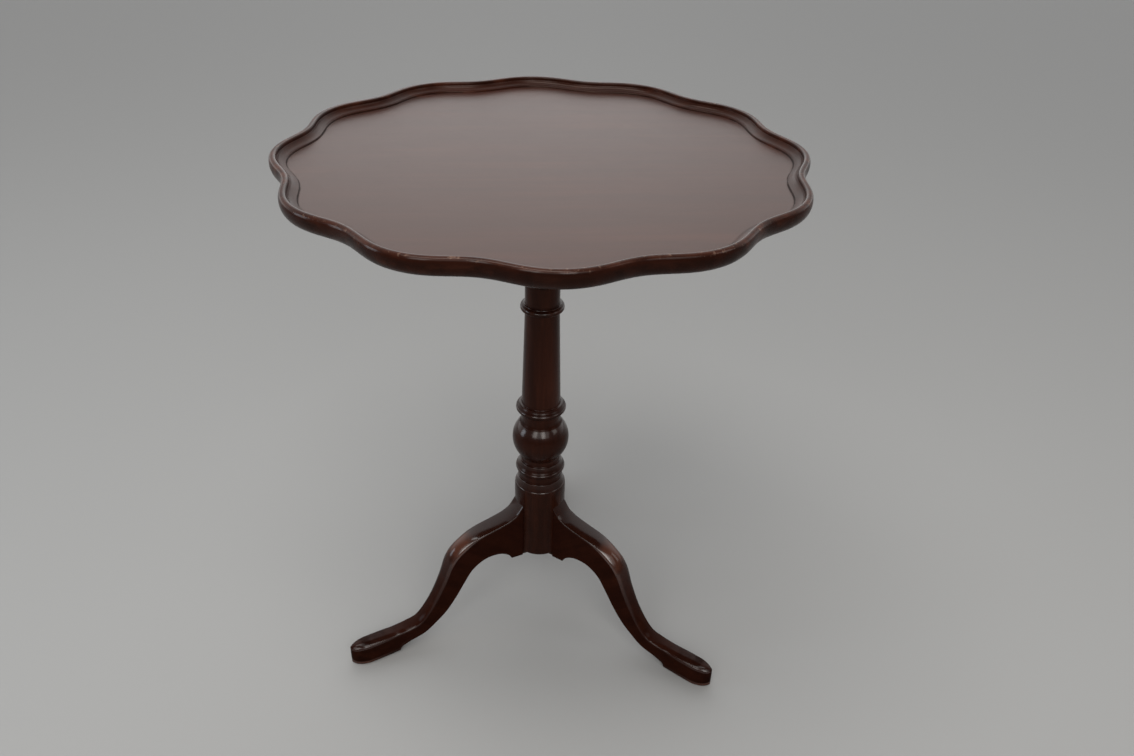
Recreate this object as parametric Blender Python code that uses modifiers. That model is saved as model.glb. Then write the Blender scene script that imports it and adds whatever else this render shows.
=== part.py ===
"""Wine table: a tilting piecrust top on a turned column with three cabriole legs.

Metres, +Z up. The floor is z = 0 and the column stands on the Z axis. The front is at -Y, where the
top's pivot pins lie along X. Run it in Blender and it leaves one object for each piece of the table.
"""

import math

import bmesh
import bpy
from mathutils import Matrix, Vector

# Fits
SEAT_GAP = 0.0003
RUNNING_GAP = 0.0005

# Top: a dished board with a moulded rim of round lobes
TABLE_HEIGHT = 0.706
TOP_RADIUS = 0.298
LOBES = 12
LOBE_SWELL = 0.0073
LOBE_BLUNTING = 0.00057
RIM_DEPTH = 0.022
RIM_WIDEST_DROP = 0.0077
RIM_UNDERCUT = 0.0111
CREST_INSET = 0.0045
QUIRK_INSET = 0.0082
QUIRK_DROP = 0.0036
COVE_END_INSET = 0.0172
COVE_END_DROP = 0.0092
FIELD_INSET = 0.0189
DISH_DEPTH = 0.011
POINTS_PER_LOBE = 8

# Block on the column, and the pins at its front edge
BLOCK_WIDTH = 0.150
BLOCK_LENGTH = 0.156
BLOCK_THICKNESS = 0.028
PIN_RADIUS = 0.0048
PIN_IN_BLOCK = 0.030
PIN_SHORT_OF_FACE = 0.001
PIN_SIDES = 20

# Bearers under the top
BEARER_WIDTH = 0.022
BEARER_DEPTH = 0.027
BEARER_LENGTH = 0.410
BEARER_END_DEPTH = 0.011
BEARER_TAPER = 0.050
BEARER_SIDE_GAP = 0.0008
BEARER_SCREW_SPOTS = (-0.140, -0.015, 0.075, 0.140)
BEARER_SCREW_SINK = 0.012
BEARER_SCREW_BITE = 0.0065

# Table bolt behind the block
STRIKE_WIDTH = 0.036
STRIKE_HEIGHT = 0.018
STRIKE_THICKNESS = 0.0015
STRIKE_SCREW_SPREAD = 0.013
CASE_STANDOFF = 0.0030
CASE_LENGTH = 0.046
CASE_FLANGE_WIDTH = 0.040
CASE_FLANGE_THINNING = 0.0004
CASE_WALL = 0.0015
CASE_WEB = 0.0020
CASE_SCREW_SPREAD = 0.0135
CASE_SCREW_MARGIN = 0.008
BOLT_WIDTH = 0.012
BOLT_HEIGHT = 0.010
BOLT_LENGTH = 0.034
NOSE_HEIGHT = 0.0065
NOSE_LENGTH = 0.0125
BOLT_TRAVEL = 0.009
MORTISE_SPARE = 0.003
KNOB_RADIUS = 0.0055
KNOB_STEM_RADIUS = 0.0018
KNOB_NECK = 0.004
KNOB_BITE = 0.004
KNOB_SETBACK = 0.020
KNOB_SIDES = 14

# Column
TENON_RADIUS = 0.016
TENON_SHORT_OF_TOP = 0.0005
CAPITAL_RADIUS = 0.031
CAPITAL_LIP = 0.006
CAPITAL_HEIGHT = 0.040
SHAFT_TOP_RADIUS = 0.0205
COLLAR_RADIUS = 0.0277
COLLAR_RISE = 0.0070
COLLAR_DROP = 0.0032
COLLAR_NECK_RADIUS = 0.0220
UPPER_COLLAR_HEIGHT = 0.5445
LOWER_COLLAR_HEIGHT = 0.506
SHAFT_FOOT_RADIUS = 0.0257
SHAFT_RING_RADIUS = 0.0332
SHAFT_RING_RISE = 0.0097
SHAFT_RING_DROP = 0.0040
SHAFT_RING_HEIGHT = 0.356
BALL_RADIUS = 0.0381
BALL_HEIGHT = 0.307
BALL_NECK_RADIUS = 0.0257
BALL_TOP_BEND = 0.008
BALL_FOOT_BEND = 0.004
DRUM_RING_RADIUS = 0.0336
DRUM_RING_RISE = 0.0137
DRUM_RING_DROP = 0.0050
DRUM_RING_HEIGHT = 0.259
WAIST_RADIUS = 0.0285
DRUM_LIP_RADIUS = 0.0346
DRUM_LIP_RISE = 0.0112
DRUM_LIP_HEIGHT = 0.234
DRUM_RADIUS = 0.0352
DRUM_SHOULDER_HEIGHT = 0.223
DRUM_BOTTOM = 0.1195
COLUMN_SIDES = 28

# A ring's section: shares of its reach and rise down to the crest, then of its reach and drop below it
RING_TOP = ((0.0, 1.0), (0.30, 0.90), (0.45, 0.55), (0.93, 0.25), (1.0, 0.0))
RING_FOOT = ((0.85, 0.70), (0.42, 0.95), (0.0, 1.0))

# Wedge in the head of the tenon
WEDGE_THICK_END = 0.0040
WEDGE_THIN_END = 0.0016
WEDGE_DEPTH = 0.020
WEDGE_SHORT_OF_SIDE = 0.001

# Legs: reaches are distances from the column's axis
BASE_TURN = math.radians(-7.66)
FLAT_DISTANCE = 0.0322
LEG_THICKNESS = 0.028
LEG_HEAD_HEIGHT = 0.203
LEG_HEAD_SWEEP = 0.0125
BRACKET_HEIGHT = 0.1115
BRACKET_REACH = 0.0495
BRACKET_TOP = 0.1845
ANKLE_THICKNESS = 0.022
FOOT_HEIGHT = 0.0325
FOOT_WIDTH = 0.031
FOOT_REACH = 0.266
TOE_REACH = 0.291
TOE_ROUNDING = 0.004
PAD_HEIGHT = 0.006
PAD_INSET = 0.0012
TOE_STATIONS = (25, 45, 62, 75, 84)
CROWN_STATION = 0.4
CROWN_FALL = 0.2
HIP_CROWN = 0.0015
KNEE_CROWN = 0.0045
FOOT_CROWN = 0.0025
HIP_ARRIS = 0.0014
KNEE_ARRIS = 0.0055
KNEE_REACH = 0.140
KNEE_SPAN = 0.035
INSTEP_REACH = 0.205
FOOT_LEAN = 0.0036
LEG_EASE = 0.0012

# Cross-lines of a leg between the bracket and the foot: under edge, upper edge (reach, height), thickness
LEG_LINES = (
    # hollow behind the bracket, and the arch under the hip
    ((0.0560, 0.1205), (0.0565, 0.1815), LEG_THICKNESS),
    ((0.0700, 0.1270), (0.0740, 0.1765), LEG_THICKNESS),
    ((0.0900, 0.1260), (0.1050, 0.1690), LEG_THICKNESS),
    # round the knee
    ((0.1090, 0.1140), (0.1290, 0.1565), LEG_THICKNESS),
    ((0.1230, 0.0935), (0.1430, 0.1390), LEG_THICKNESS),
    # down the shin to the ankle
    ((0.1360, 0.0695), (0.1535, 0.1100), 0.025),
    ((0.1510, 0.0470), (0.1660, 0.0810), 0.0225),
    ((0.1680, 0.0310), (0.1795, 0.0565), ANKLE_THICKNESS),
    ((0.1850, 0.0185), (0.1925, 0.0410), ANKLE_THICKNESS),
    # instep and heel
    ((0.2060, 0.0125), (0.2080, 0.0358), 0.0228),
    ((0.2200, 0.0070), (0.2215, 0.0345), 0.0236),
    ((0.2260, 0.0000), (0.2300, 0.0336), 0.0250),
    ((0.2450, 0.0000), (0.2450, 0.0330), 0.0284),
)

# Sliding dovetails that hold the legs in the column
DOVETAIL_NECK = 0.012
DOVETAIL_WIDTH = 0.017
DOVETAIL_DEPTH = 0.0135
DOVETAIL_HEAD = 0.190
DOVETAIL_ROOT = 0.006

# Iron plate under the legs
PLATE_THICKNESS = 0.0025
PLATE_HUB_RADIUS = 0.020
PLATE_ARM_WIDTH = 0.018
PLATE_ARM_MARGIN = 0.003
PLATE_SCREW_MARGIN = 0.009

# Wood screws: each gauge is a head radius and a shank radius
LARGE_GAUGE = (0.004, 0.002)
SMALL_GAUGE = (0.003, 0.0014)
SMALL_SCREW_LENGTH = 0.008
PLATE_SCREW_LENGTH = 0.016
SCREW_SIDES = 10

# Heights and places that follow from the sizes above
TOP_UNDERSIDE = TABLE_HEIGHT - RIM_DEPTH
HUNG_TOP = TOP_UNDERSIDE - SEAT_GAP
BLOCK_BOTTOM = HUNG_TOP - BLOCK_THICKNESS
PIVOT_Z = HUNG_TOP - BLOCK_THICKNESS / 2
PIVOT_Y = -BLOCK_LENGTH / 2 + BLOCK_THICKNESS / 2
BLOCK_BACK = BLOCK_LENGTH / 2
BEARER_X = BLOCK_WIDTH / 2 + BEARER_SIDE_GAP + BEARER_WIDTH / 2
BEARER_BOTTOM = HUNG_TOP - BEARER_DEPTH
STRIKE_BACK = BLOCK_BACK + SEAT_GAP + STRIKE_THICKNESS
CASE_FRONT = STRIKE_BACK + CASE_STANDOFF
BOLT_TOP = HUNG_TOP - CASE_WEB - RUNNING_GAP
BOLT_BOTTOM = BOLT_TOP - BOLT_HEIGHT
NOSE_TOP = BOLT_BOTTOM + NOSE_HEIGHT
CASE_BOTTOM = BOLT_BOTTOM - RUNNING_GAP - CASE_WALL
KNOB_Y = CASE_FRONT + KNOB_SETBACK
SHOULDER = FLAT_DISTANCE + SEAT_GAP
PLATE_TOP = BRACKET_HEIGHT - SEAT_GAP
LEG_TURNS = {
    "leg_left": math.radians(-150) + BASE_TURN,
    "leg_right": math.radians(-30) + BASE_TURN,
    "leg_rear": math.radians(90) + BASE_TURN,
}


def clear_scene():
    """Remove what the scene holds, so that the script starts from nothing."""
    for item in list(bpy.data.objects):
        bpy.data.objects.remove(item)
    for group in list(bpy.data.collections):
        bpy.data.collections.remove(group)


def new_collection(name):
    """A collection in the scene."""
    group = bpy.data.collections.new(name)
    bpy.context.scene.collection.children.link(group)
    return group


def material(name, colour, roughness, metallic=0.0):
    """A plain Principled material."""
    made = bpy.data.materials.new(name)
    made.use_nodes = True
    shader = made.node_tree.nodes["Principled BSDF"]
    shader.inputs["Base Color"].default_value = (*colour, 1.0)
    shader.inputs["Roughness"].default_value = roughness
    shader.inputs["Metallic"].default_value = metallic
    return made


def add_part(name, mesh, finish, pivot=None):
    """A piece of the table; with a pivot, its origin hangs on that empty."""
    part = bpy.data.objects.new(name, mesh)
    mesh.name = name
    mesh.materials.clear()
    mesh.materials.append(finish)
    PARTS.objects.link(part)
    if pivot is not None:
        mesh.transform(Matrix.Translation(-pivot.matrix_world.translation))
        part.parent = pivot
    return part


def add_pivot(name, place, carrier=None):
    """An empty on a joint's axis; with a carrier, it rides that other empty."""
    pivot = bpy.data.objects.new(name, None)
    pivot.location = place
    pivot.empty_display_size = 0.02
    PARTS.objects.link(pivot)
    if carrier is not None:
        pivot.parent = carrier
        pivot.location -= carrier.matrix_world.translation
    bpy.context.view_layer.update()
    return pivot


def add_cutter(name, mesh):
    """A hidden solid that a Boolean reads."""
    cutter = bpy.data.objects.new(name, mesh)
    cutter.hide_render = True
    cutter.display_type = "WIRE"
    CUTTERS.objects.link(cutter)
    return cutter


def boolean(part, cutter, operation="DIFFERENCE"):
    """A live Boolean on a piece."""
    step = part.modifiers.new(cutter.name, "BOOLEAN")
    step.operation = operation
    step.solver = "EXACT"
    step.object = cutter


def evaluated_mesh(item):
    """The mesh that an object's modifiers or curve settings make, with its seams welded."""
    bpy.context.view_layer.update()
    graph = bpy.context.evaluated_depsgraph_get()
    mesh = bpy.data.meshes.new_from_object(item.evaluated_get(graph))
    work = bmesh.new()
    work.from_mesh(mesh)
    bmesh.ops.remove_doubles(work, verts=work.verts, dist=0.000001)
    work.to_mesh(mesh)
    work.free()
    return mesh


def smooth(mesh, angle=35):
    """Round shading, with the edges past the angle kept sharp."""
    mesh.shade_smooth()
    mesh.set_sharp_from_angle(angle=math.radians(angle))
    return mesh


def turned_mesh(name, profile, sides):
    """A turning: (radius, height) points, from the top down its outer side, swept by a Screw modifier."""
    outline = bpy.data.meshes.new(name)
    points = [(radius, 0.0, height) for radius, height in profile]
    outline.from_pydata(points, [(i, i + 1) for i in range(len(points) - 1)], [])
    lathe = bpy.data.objects.new(name, outline)
    CUTTERS.objects.link(lathe)
    sweep = lathe.modifiers.new("Lathe", "SCREW")
    sweep.steps = sides
    sweep.render_steps = sides
    sweep.use_merge_vertices = True
    sweep.merge_threshold = 0.00001
    mesh = evaluated_mesh(lathe)
    bpy.data.objects.remove(lathe)
    return mesh


def prism_mesh(name, outlines, low, high, turn=Matrix()):
    """A flat outline, with any holes, raised from low to high along its own Z, then turned."""
    curve = bpy.data.curves.new(name, "CURVE")
    curve.dimensions = "2D"
    curve.fill_mode = "BOTH"
    curve.extrude = (high - low) / 2
    for outline in outlines:
        spline = curve.splines.new("POLY")
        spline.points.add(len(outline) - 1)
        for point, (x, y) in zip(spline.points, outline):
            point.co = (x, y, 0.0, 1.0)
        spline.use_cyclic_u = True
    blank = bpy.data.objects.new(name, curve)
    CUTTERS.objects.link(blank)
    mesh = evaluated_mesh(blank)
    bpy.data.objects.remove(blank)
    mesh.transform(turn @ Matrix.Translation((0, 0, (low + high) / 2)))
    return mesh


def box_mesh(name, low, high):
    """A box between two corners."""
    work = bmesh.new()
    bmesh.ops.create_cube(work, size=1.0)
    centre = (Vector(low) + Vector(high)) / 2
    span = Vector(high) - Vector(low)
    bmesh.ops.scale(work, vec=span, verts=work.verts)
    bmesh.ops.translate(work, vec=centre, verts=work.verts)
    mesh = bpy.data.meshes.new(name)
    work.to_mesh(mesh)
    work.free()
    return mesh


def loft_mesh(name, rings):
    """A solid through closed rings of points, capped at its first and last ring."""
    work = bmesh.new()
    loops = [[work.verts.new(point) for point in ring] for ring in rings]
    count = len(rings[0])
    for near, far in zip(loops, loops[1:]):
        for i in range(count):
            j = (i + 1) % count
            work.faces.new((near[i], near[j], far[j], far[i]))
    work.faces.new(list(reversed(loops[0])))
    work.faces.new(loops[-1])
    bmesh.ops.recalc_face_normals(work, faces=work.faces)
    mesh = bpy.data.meshes.new(name)
    work.to_mesh(mesh)
    work.free()
    return mesh


def group_mesh(name, pieces):
    """One mesh of separate solids: (mesh, placing matrix) pairs."""
    work = bmesh.new()
    for mesh, placing in pieces:
        first = len(work.verts)
        work.from_mesh(mesh)
        work.verts.ensure_lookup_table()
        bmesh.ops.transform(work, matrix=placing, verts=work.verts[first:])
    made = bpy.data.meshes.new(name)
    work.to_mesh(made)
    work.free()
    return made


def arc(centre, radii, start, end, steps):
    """Points on an ellipse's arc, both ends included."""
    points = []
    for i in range(steps + 1):
        angle = math.radians(start + (end - start) * i / steps)
        points.append((centre[0] + radii[0] * math.cos(angle), centre[1] + radii[1] * math.sin(angle)))
    return points


def rod_profile(radius, length):
    """A plain rod about its own middle."""
    return [(0.0, length / 2), (radius, length / 2), (radius, -length / 2), (0.0, -length / 2)]


def screw_profile(head, shank, length):
    """A countersunk wood screw: its head lies at height 0 and it points down."""
    return [
        (0.0, 0.0),
        (head, 0.0),
        (shank, shank - head),
        (shank, 2 * shank - length),
        (0.0, -length),
    ]


def screw_hole_profile(head, shank, length, sink):
    """The hole that such a screw fills, open above its head for the sink."""
    return [
        (0.0, sink),
        (head + SEAT_GAP, sink),
        (head + SEAT_GAP, -SEAT_GAP),
        (shank + SEAT_GAP, shank - head - SEAT_GAP),
        (shank + SEAT_GAP, -length - SEAT_GAP),
        (0.0, -length - SEAT_GAP),
    ]


def add_screws(name, gauge, length, sink, places, finish, pivot=None):
    """Like screws, each a piece of its own, and the cutter for all their holes."""
    screw = smooth(turned_mesh(name, screw_profile(*gauge, length), SCREW_SIDES))
    hole = turned_mesh(name, screw_hole_profile(*gauge, length, sink), SCREW_SIDES)
    for number, place in enumerate(places, 1):
        mesh = screw.copy()
        mesh.transform(place)
        add_part(f"{name}_{number}", mesh, finish, pivot)
    return add_cutter(name + "_holes", group_mesh(name + "_holes", [(hole, place) for place in places]))


def rim_section():
    """The rim's moulding, as (inset from the widest outline, height), from the underside to the field."""
    widest = TABLE_HEIGHT - RIM_WIDEST_DROP
    quirk = TABLE_HEIGHT - QUIRK_DROP
    cove_end = TABLE_HEIGHT - COVE_END_DROP
    field = TABLE_HEIGHT - DISH_DEPTH
    ovolo = arc((RIM_UNDERCUT, widest), (RIM_UNDERCUT, widest - TOP_UNDERSIDE), 270, 180, 4)
    shoulder = arc((CREST_INSET, widest), (CREST_INSET, RIM_WIDEST_DROP), 180, 90, 4)
    bead = arc((CREST_INSET, quirk), (QUIRK_INSET - CREST_INSET, QUIRK_DROP), 90, 0, 3)
    cove = arc((COVE_END_INSET, quirk), (COVE_END_INSET - QUIRK_INSET, quirk - cove_end), 190, 270, 4)
    fillet_inset = (COVE_END_INSET + FIELD_INSET) / 2
    fillet = [(fillet_inset, cove_end), (FIELD_INSET, field)]
    return ovolo + shoulder[1:] + bead[1:] + cove + fillet


def lobed_outline(inset, height):
    """The top's outline, moved in by the inset along its own normal."""
    points = []
    count = LOBES * POINTS_PER_LOBE
    for i in range(count):
        turn = 2 * math.pi * i / count
        swing = LOBES * (turn + math.pi / 2)
        radius = TOP_RADIUS + LOBE_SWELL * math.cos(swing) - LOBE_BLUNTING * math.cos(2 * swing)
        slope = LOBES * (2 * LOBE_BLUNTING * math.sin(2 * swing) - LOBE_SWELL * math.sin(swing))
        outward = Vector((math.cos(turn), math.sin(turn)))
        along = Vector((-math.sin(turn), math.cos(turn)))
        tangent = (outward * slope + along * radius).normalized()
        place = outward * radius + Vector((-tangent.y, tangent.x)) * inset
        points.append((place.x, place.y, height))
    return points


def make_top(pivot, wood, steel):
    """The board with its rim, the bearers, and the screws through them."""
    rings = [lobed_outline(inset, height) for inset, height in rim_section()]
    top = add_part("table_top", smooth(loft_mesh("table_top", rings), 50), wood["top"], pivot)

    half = BEARER_LENGTH / 2
    end = HUNG_TOP - BEARER_END_DEPTH
    side = [
        (-half, HUNG_TOP),
        (-half, end),
        (-half + BEARER_TAPER, BEARER_BOTTOM),
        (half - BEARER_TAPER, BEARER_BOTTOM),
        (half, end),
        (half, HUNG_TOP),
    ]
    across = Matrix.Rotation(math.radians(90), 4, "Z") @ Matrix.Rotation(math.radians(90), 4, "X")
    length = BEARER_DEPTH - BEARER_SCREW_SINK + SEAT_GAP + BEARER_SCREW_BITE
    point_up = Matrix.Rotation(math.pi, 4, "X")
    seat = BEARER_BOTTOM + BEARER_SCREW_SINK
    places = [
        Matrix.Translation((x, y, seat)) @ point_up
        for x in (-BEARER_X, BEARER_X)
        for y in BEARER_SCREW_SPOTS
    ]
    holes = add_screws("bearer_screw", LARGE_GAUGE, length, BEARER_SCREW_SINK * 2, places, steel, pivot)
    boolean(top, holes)

    bore = turned_mesh("pin_bore", rod_profile(PIN_RADIUS + RUNNING_GAP, BEARER_WIDTH * 2), PIN_SIDES)
    along_x = Matrix.Rotation(math.radians(90), 4, "Y")
    for name, x in (("bearer_left", -BEARER_X), ("bearer_right", BEARER_X)):
        mesh = prism_mesh(name, [side], x - BEARER_WIDTH / 2, x + BEARER_WIDTH / 2, across)
        bearer = add_part(name, mesh, wood["under"], pivot)
        bearer_bore = bore.copy()
        bearer_bore.transform(Matrix.Translation((x, PIVOT_Y, PIVOT_Z)) @ along_x)
        boolean(bearer, add_cutter(name + "_bore", bearer_bore))
        boolean(bearer, holes)
    return top


def make_catch(top, pivot, slide, brass):
    """The table bolt: its case and screws under the top, and the bolt and knob that slide in it."""
    half_inside = BOLT_WIDTH / 2 + RUNNING_GAP
    half_case = half_inside + CASE_WALL
    half_flange = CASE_FLANGE_WIDTH / 2
    flange_bottom = HUNG_TOP - CASE_WALL
    inside_bottom = CASE_BOTTOM + CASE_WALL
    case_outline = [
        (-half_flange, HUNG_TOP),
        (-half_flange, flange_bottom + CASE_FLANGE_THINNING),
        (-half_case, flange_bottom),
        (-half_case, CASE_BOTTOM),
        (half_case, CASE_BOTTOM),
        (half_case, flange_bottom),
        (half_flange, flange_bottom + CASE_FLANGE_THINNING),
        (half_flange, HUNG_TOP),
    ]
    channel_top = HUNG_TOP - CASE_WEB
    channel = [
        (-half_inside, channel_top),
        (half_inside, channel_top),
        (half_inside, inside_bottom),
        (-half_inside, inside_bottom),
    ]
    upright = Matrix.Rotation(math.radians(90), 4, "X")
    case_back = CASE_FRONT + CASE_LENGTH
    mesh = prism_mesh("catch_case", [case_outline, channel], -case_back, -CASE_FRONT, upright)
    case = add_part("catch_case", mesh, brass, pivot)
    half_slot = KNOB_STEM_RADIUS + RUNNING_GAP
    slot_low = (-half_slot, KNOB_Y - BOLT_TRAVEL - half_slot, CASE_BOTTOM - CASE_WALL)
    slot_high = (half_slot, KNOB_Y + half_slot, inside_bottom + RUNNING_GAP / 2)
    boolean(case, add_cutter("catch_slot", box_mesh("catch_slot", slot_low, slot_high)))

    point_up = Matrix.Rotation(math.pi, 4, "X")
    places = [
        Matrix.Translation((x, y, flange_bottom)) @ point_up
        for x in (-CASE_SCREW_SPREAD, CASE_SCREW_SPREAD)
        for y in (CASE_FRONT + CASE_SCREW_MARGIN, case_back - CASE_SCREW_MARGIN)
    ]
    holes = add_screws("catch_screw", SMALL_GAUGE, SMALL_SCREW_LENGTH, CASE_WALL, places, brass, pivot)
    boolean(case, holes)
    boolean(top, holes)

    bolt_side = [
        (CASE_FRONT, BOLT_BOTTOM),
        (CASE_FRONT + BOLT_LENGTH, BOLT_BOTTOM),
        (CASE_FRONT + BOLT_LENGTH, BOLT_TOP),
        (CASE_FRONT + NOSE_LENGTH, BOLT_TOP),
        (CASE_FRONT + NOSE_LENGTH, NOSE_TOP),
        (CASE_FRONT, NOSE_TOP),
    ]
    across = Matrix.Rotation(math.radians(90), 4, "Z") @ Matrix.Rotation(math.radians(90), 4, "X")
    bolt_mesh = prism_mesh("catch_bolt", [bolt_side], -BOLT_WIDTH / 2, BOLT_WIDTH / 2, across)
    bolt = add_part("catch_bolt", bolt_mesh, brass, slide)

    knob_top = CASE_BOTTOM - KNOB_NECK
    ball = arc((0.0, knob_top - KNOB_RADIUS), (KNOB_RADIUS, KNOB_RADIUS), 65, -90, 7)
    ball[-1] = (0.0, knob_top - 2 * KNOB_RADIUS)
    stem_top = BOLT_BOTTOM + KNOB_BITE
    stem = [(0.0, stem_top), (KNOB_STEM_RADIUS, stem_top), (KNOB_STEM_RADIUS, knob_top)]
    knob_mesh = turned_mesh("catch_knob", stem + ball, KNOB_SIDES)
    knob_mesh.transform(Matrix.Translation((0, KNOB_Y, 0)))
    add_part("catch_knob", smooth(knob_mesh), brass, slide)
    stem_room = rod_profile(KNOB_STEM_RADIUS + SEAT_GAP, KNOB_BITE * 2)
    stem_hole = turned_mesh("knob_hole", stem_room, KNOB_SIDES)
    stem_hole.transform(Matrix.Translation((0, KNOB_Y, BOLT_BOTTOM + SEAT_GAP)))
    boolean(bolt, add_cutter("knob_hole", stem_hole))


def make_block(wood, brass, steel):
    """The block, its pivot pins, and the keeper that the bolt shoots into."""
    half = BLOCK_THICKNESS / 2
    front = arc((PIVOT_Y, PIVOT_Z), (half, half), 180, 90, 8)
    side = [(BLOCK_BACK, HUNG_TOP), (BLOCK_BACK, BLOCK_BOTTOM), (PIVOT_Y - half, BLOCK_BOTTOM)] + front
    across = Matrix.Rotation(math.radians(90), 4, "Z") @ Matrix.Rotation(math.radians(90), 4, "X")
    mesh = prism_mesh("pivot_block", [side], -BLOCK_WIDTH / 2, BLOCK_WIDTH / 2, across)
    block = add_part("pivot_block", mesh, wood["under"])
    tenon_room = rod_profile(TENON_RADIUS + SEAT_GAP, BLOCK_THICKNESS * 2)
    tenon_hole = turned_mesh("tenon_hole", tenon_room, COLUMN_SIDES)
    tenon_hole.transform(Matrix.Translation((0, 0, PIVOT_Z)))
    boolean(block, add_cutter("tenon_hole", tenon_hole))

    outer_face = BEARER_X + BEARER_WIDTH / 2
    pin_outer = outer_face - PIN_SHORT_OF_FACE
    pin_inner = BLOCK_WIDTH / 2 - PIN_IN_BLOCK
    along_x = Matrix.Rotation(math.radians(90), 4, "Y")
    pin = smooth(turned_mesh("pivot_pin", rod_profile(PIN_RADIUS, pin_outer - pin_inner), PIN_SIDES))
    bore_inner = pin_inner - SEAT_GAP
    bore_profile = rod_profile(PIN_RADIUS + SEAT_GAP, outer_face - bore_inner)
    bore = turned_mesh("block_bore", bore_profile, PIN_SIDES)
    for name, way in (("pivot_pin_left", -1), ("pivot_pin_right", 1)):
        pin_mesh = pin.copy()
        pin_middle = way * (pin_outer + pin_inner) / 2
        pin_mesh.transform(Matrix.Translation((pin_middle, PIVOT_Y, PIVOT_Z)) @ along_x)
        add_part(name, pin_mesh, steel)
        bore_mesh = bore.copy()
        bore_middle = way * (outer_face + bore_inner) / 2
        bore_mesh.transform(Matrix.Translation((bore_middle, PIVOT_Y, PIVOT_Z)) @ along_x)
        boolean(block, add_cutter(name + "_bore", bore_mesh))

    mouth = BOLT_WIDTH / 2 + RUNNING_GAP
    mouth_low = BOLT_BOTTOM - RUNNING_GAP
    mouth_high = NOSE_TOP + RUNNING_GAP
    mortise_depth = BOLT_TRAVEL - (CASE_FRONT - BLOCK_BACK) + MORTISE_SPARE
    low = (-mouth, BLOCK_BACK - mortise_depth, mouth_low)
    high = (mouth, STRIKE_BACK, mouth_high)
    boolean(block, add_cutter("mortise", box_mesh("mortise", low, high)))

    middle = (mouth_low + mouth_high) / 2
    plate_half = STRIKE_HEIGHT / 2
    plate = [
        (-STRIKE_WIDTH / 2, middle - plate_half),
        (STRIKE_WIDTH / 2, middle - plate_half),
        (STRIKE_WIDTH / 2, middle + plate_half),
        (-STRIKE_WIDTH / 2, middle + plate_half),
    ]
    opening = [(-mouth, mouth_low), (-mouth, mouth_high), (mouth, mouth_high), (mouth, mouth_low)]
    upright = Matrix.Rotation(math.radians(90), 4, "X")
    strike_mesh = prism_mesh("strike_plate", [plate, opening], -STRIKE_BACK, -BLOCK_BACK - SEAT_GAP, upright)
    strike = add_part("strike_plate", strike_mesh, brass)
    point_in = Matrix.Rotation(math.radians(-90), 4, "X")
    places = [
        Matrix.Translation((x, STRIKE_BACK, middle)) @ point_in
        for x in (-STRIKE_SCREW_SPREAD, STRIKE_SCREW_SPREAD)
    ]
    holes = add_screws("strike_screw", SMALL_GAUGE, SMALL_SCREW_LENGTH, STRIKE_THICKNESS, places, brass)
    boolean(strike, holes)
    boolean(block, holes)


def ring_top(crest, height, rise, neck):
    """The upper part of a ring on the column, from its neck out to its crest."""
    return [(neck + out * (crest - neck), height + up * rise) for out, up in RING_TOP]


def ring_foot(crest, height, drop, neck):
    """The lower part of a ring, from under its crest in to the next neck."""
    return [(neck + out * (crest - neck), height - down * drop) for out, down in RING_FOOT]


def necked_ball():
    """The ball, which sweeps into a neck above and below."""
    ends = []
    for bend in (BALL_TOP_BEND, BALL_FOOT_BEND):
        out = BALL_NECK_RADIUS + bend
        rise = math.sqrt((BALL_RADIUS + bend) ** 2 - out**2)
        ends.append((out, rise, math.degrees(math.atan2(rise, out))))
    (upper_out, upper_rise, upper_angle), (lower_out, lower_rise, lower_angle) = ends
    upper_centre = (upper_out, BALL_HEIGHT + upper_rise)
    lower_centre = (lower_out, BALL_HEIGHT - lower_rise)
    points = arc(upper_centre, (BALL_TOP_BEND, BALL_TOP_BEND), 180, 180 + upper_angle, 2)
    points += arc((0.0, BALL_HEIGHT), (BALL_RADIUS, BALL_RADIUS), upper_angle, -lower_angle, 7)[1:]
    points += arc(lower_centre, (BALL_FOOT_BEND, BALL_FOOT_BEND), 180 - lower_angle, 180, 2)[1:]
    return points


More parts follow.
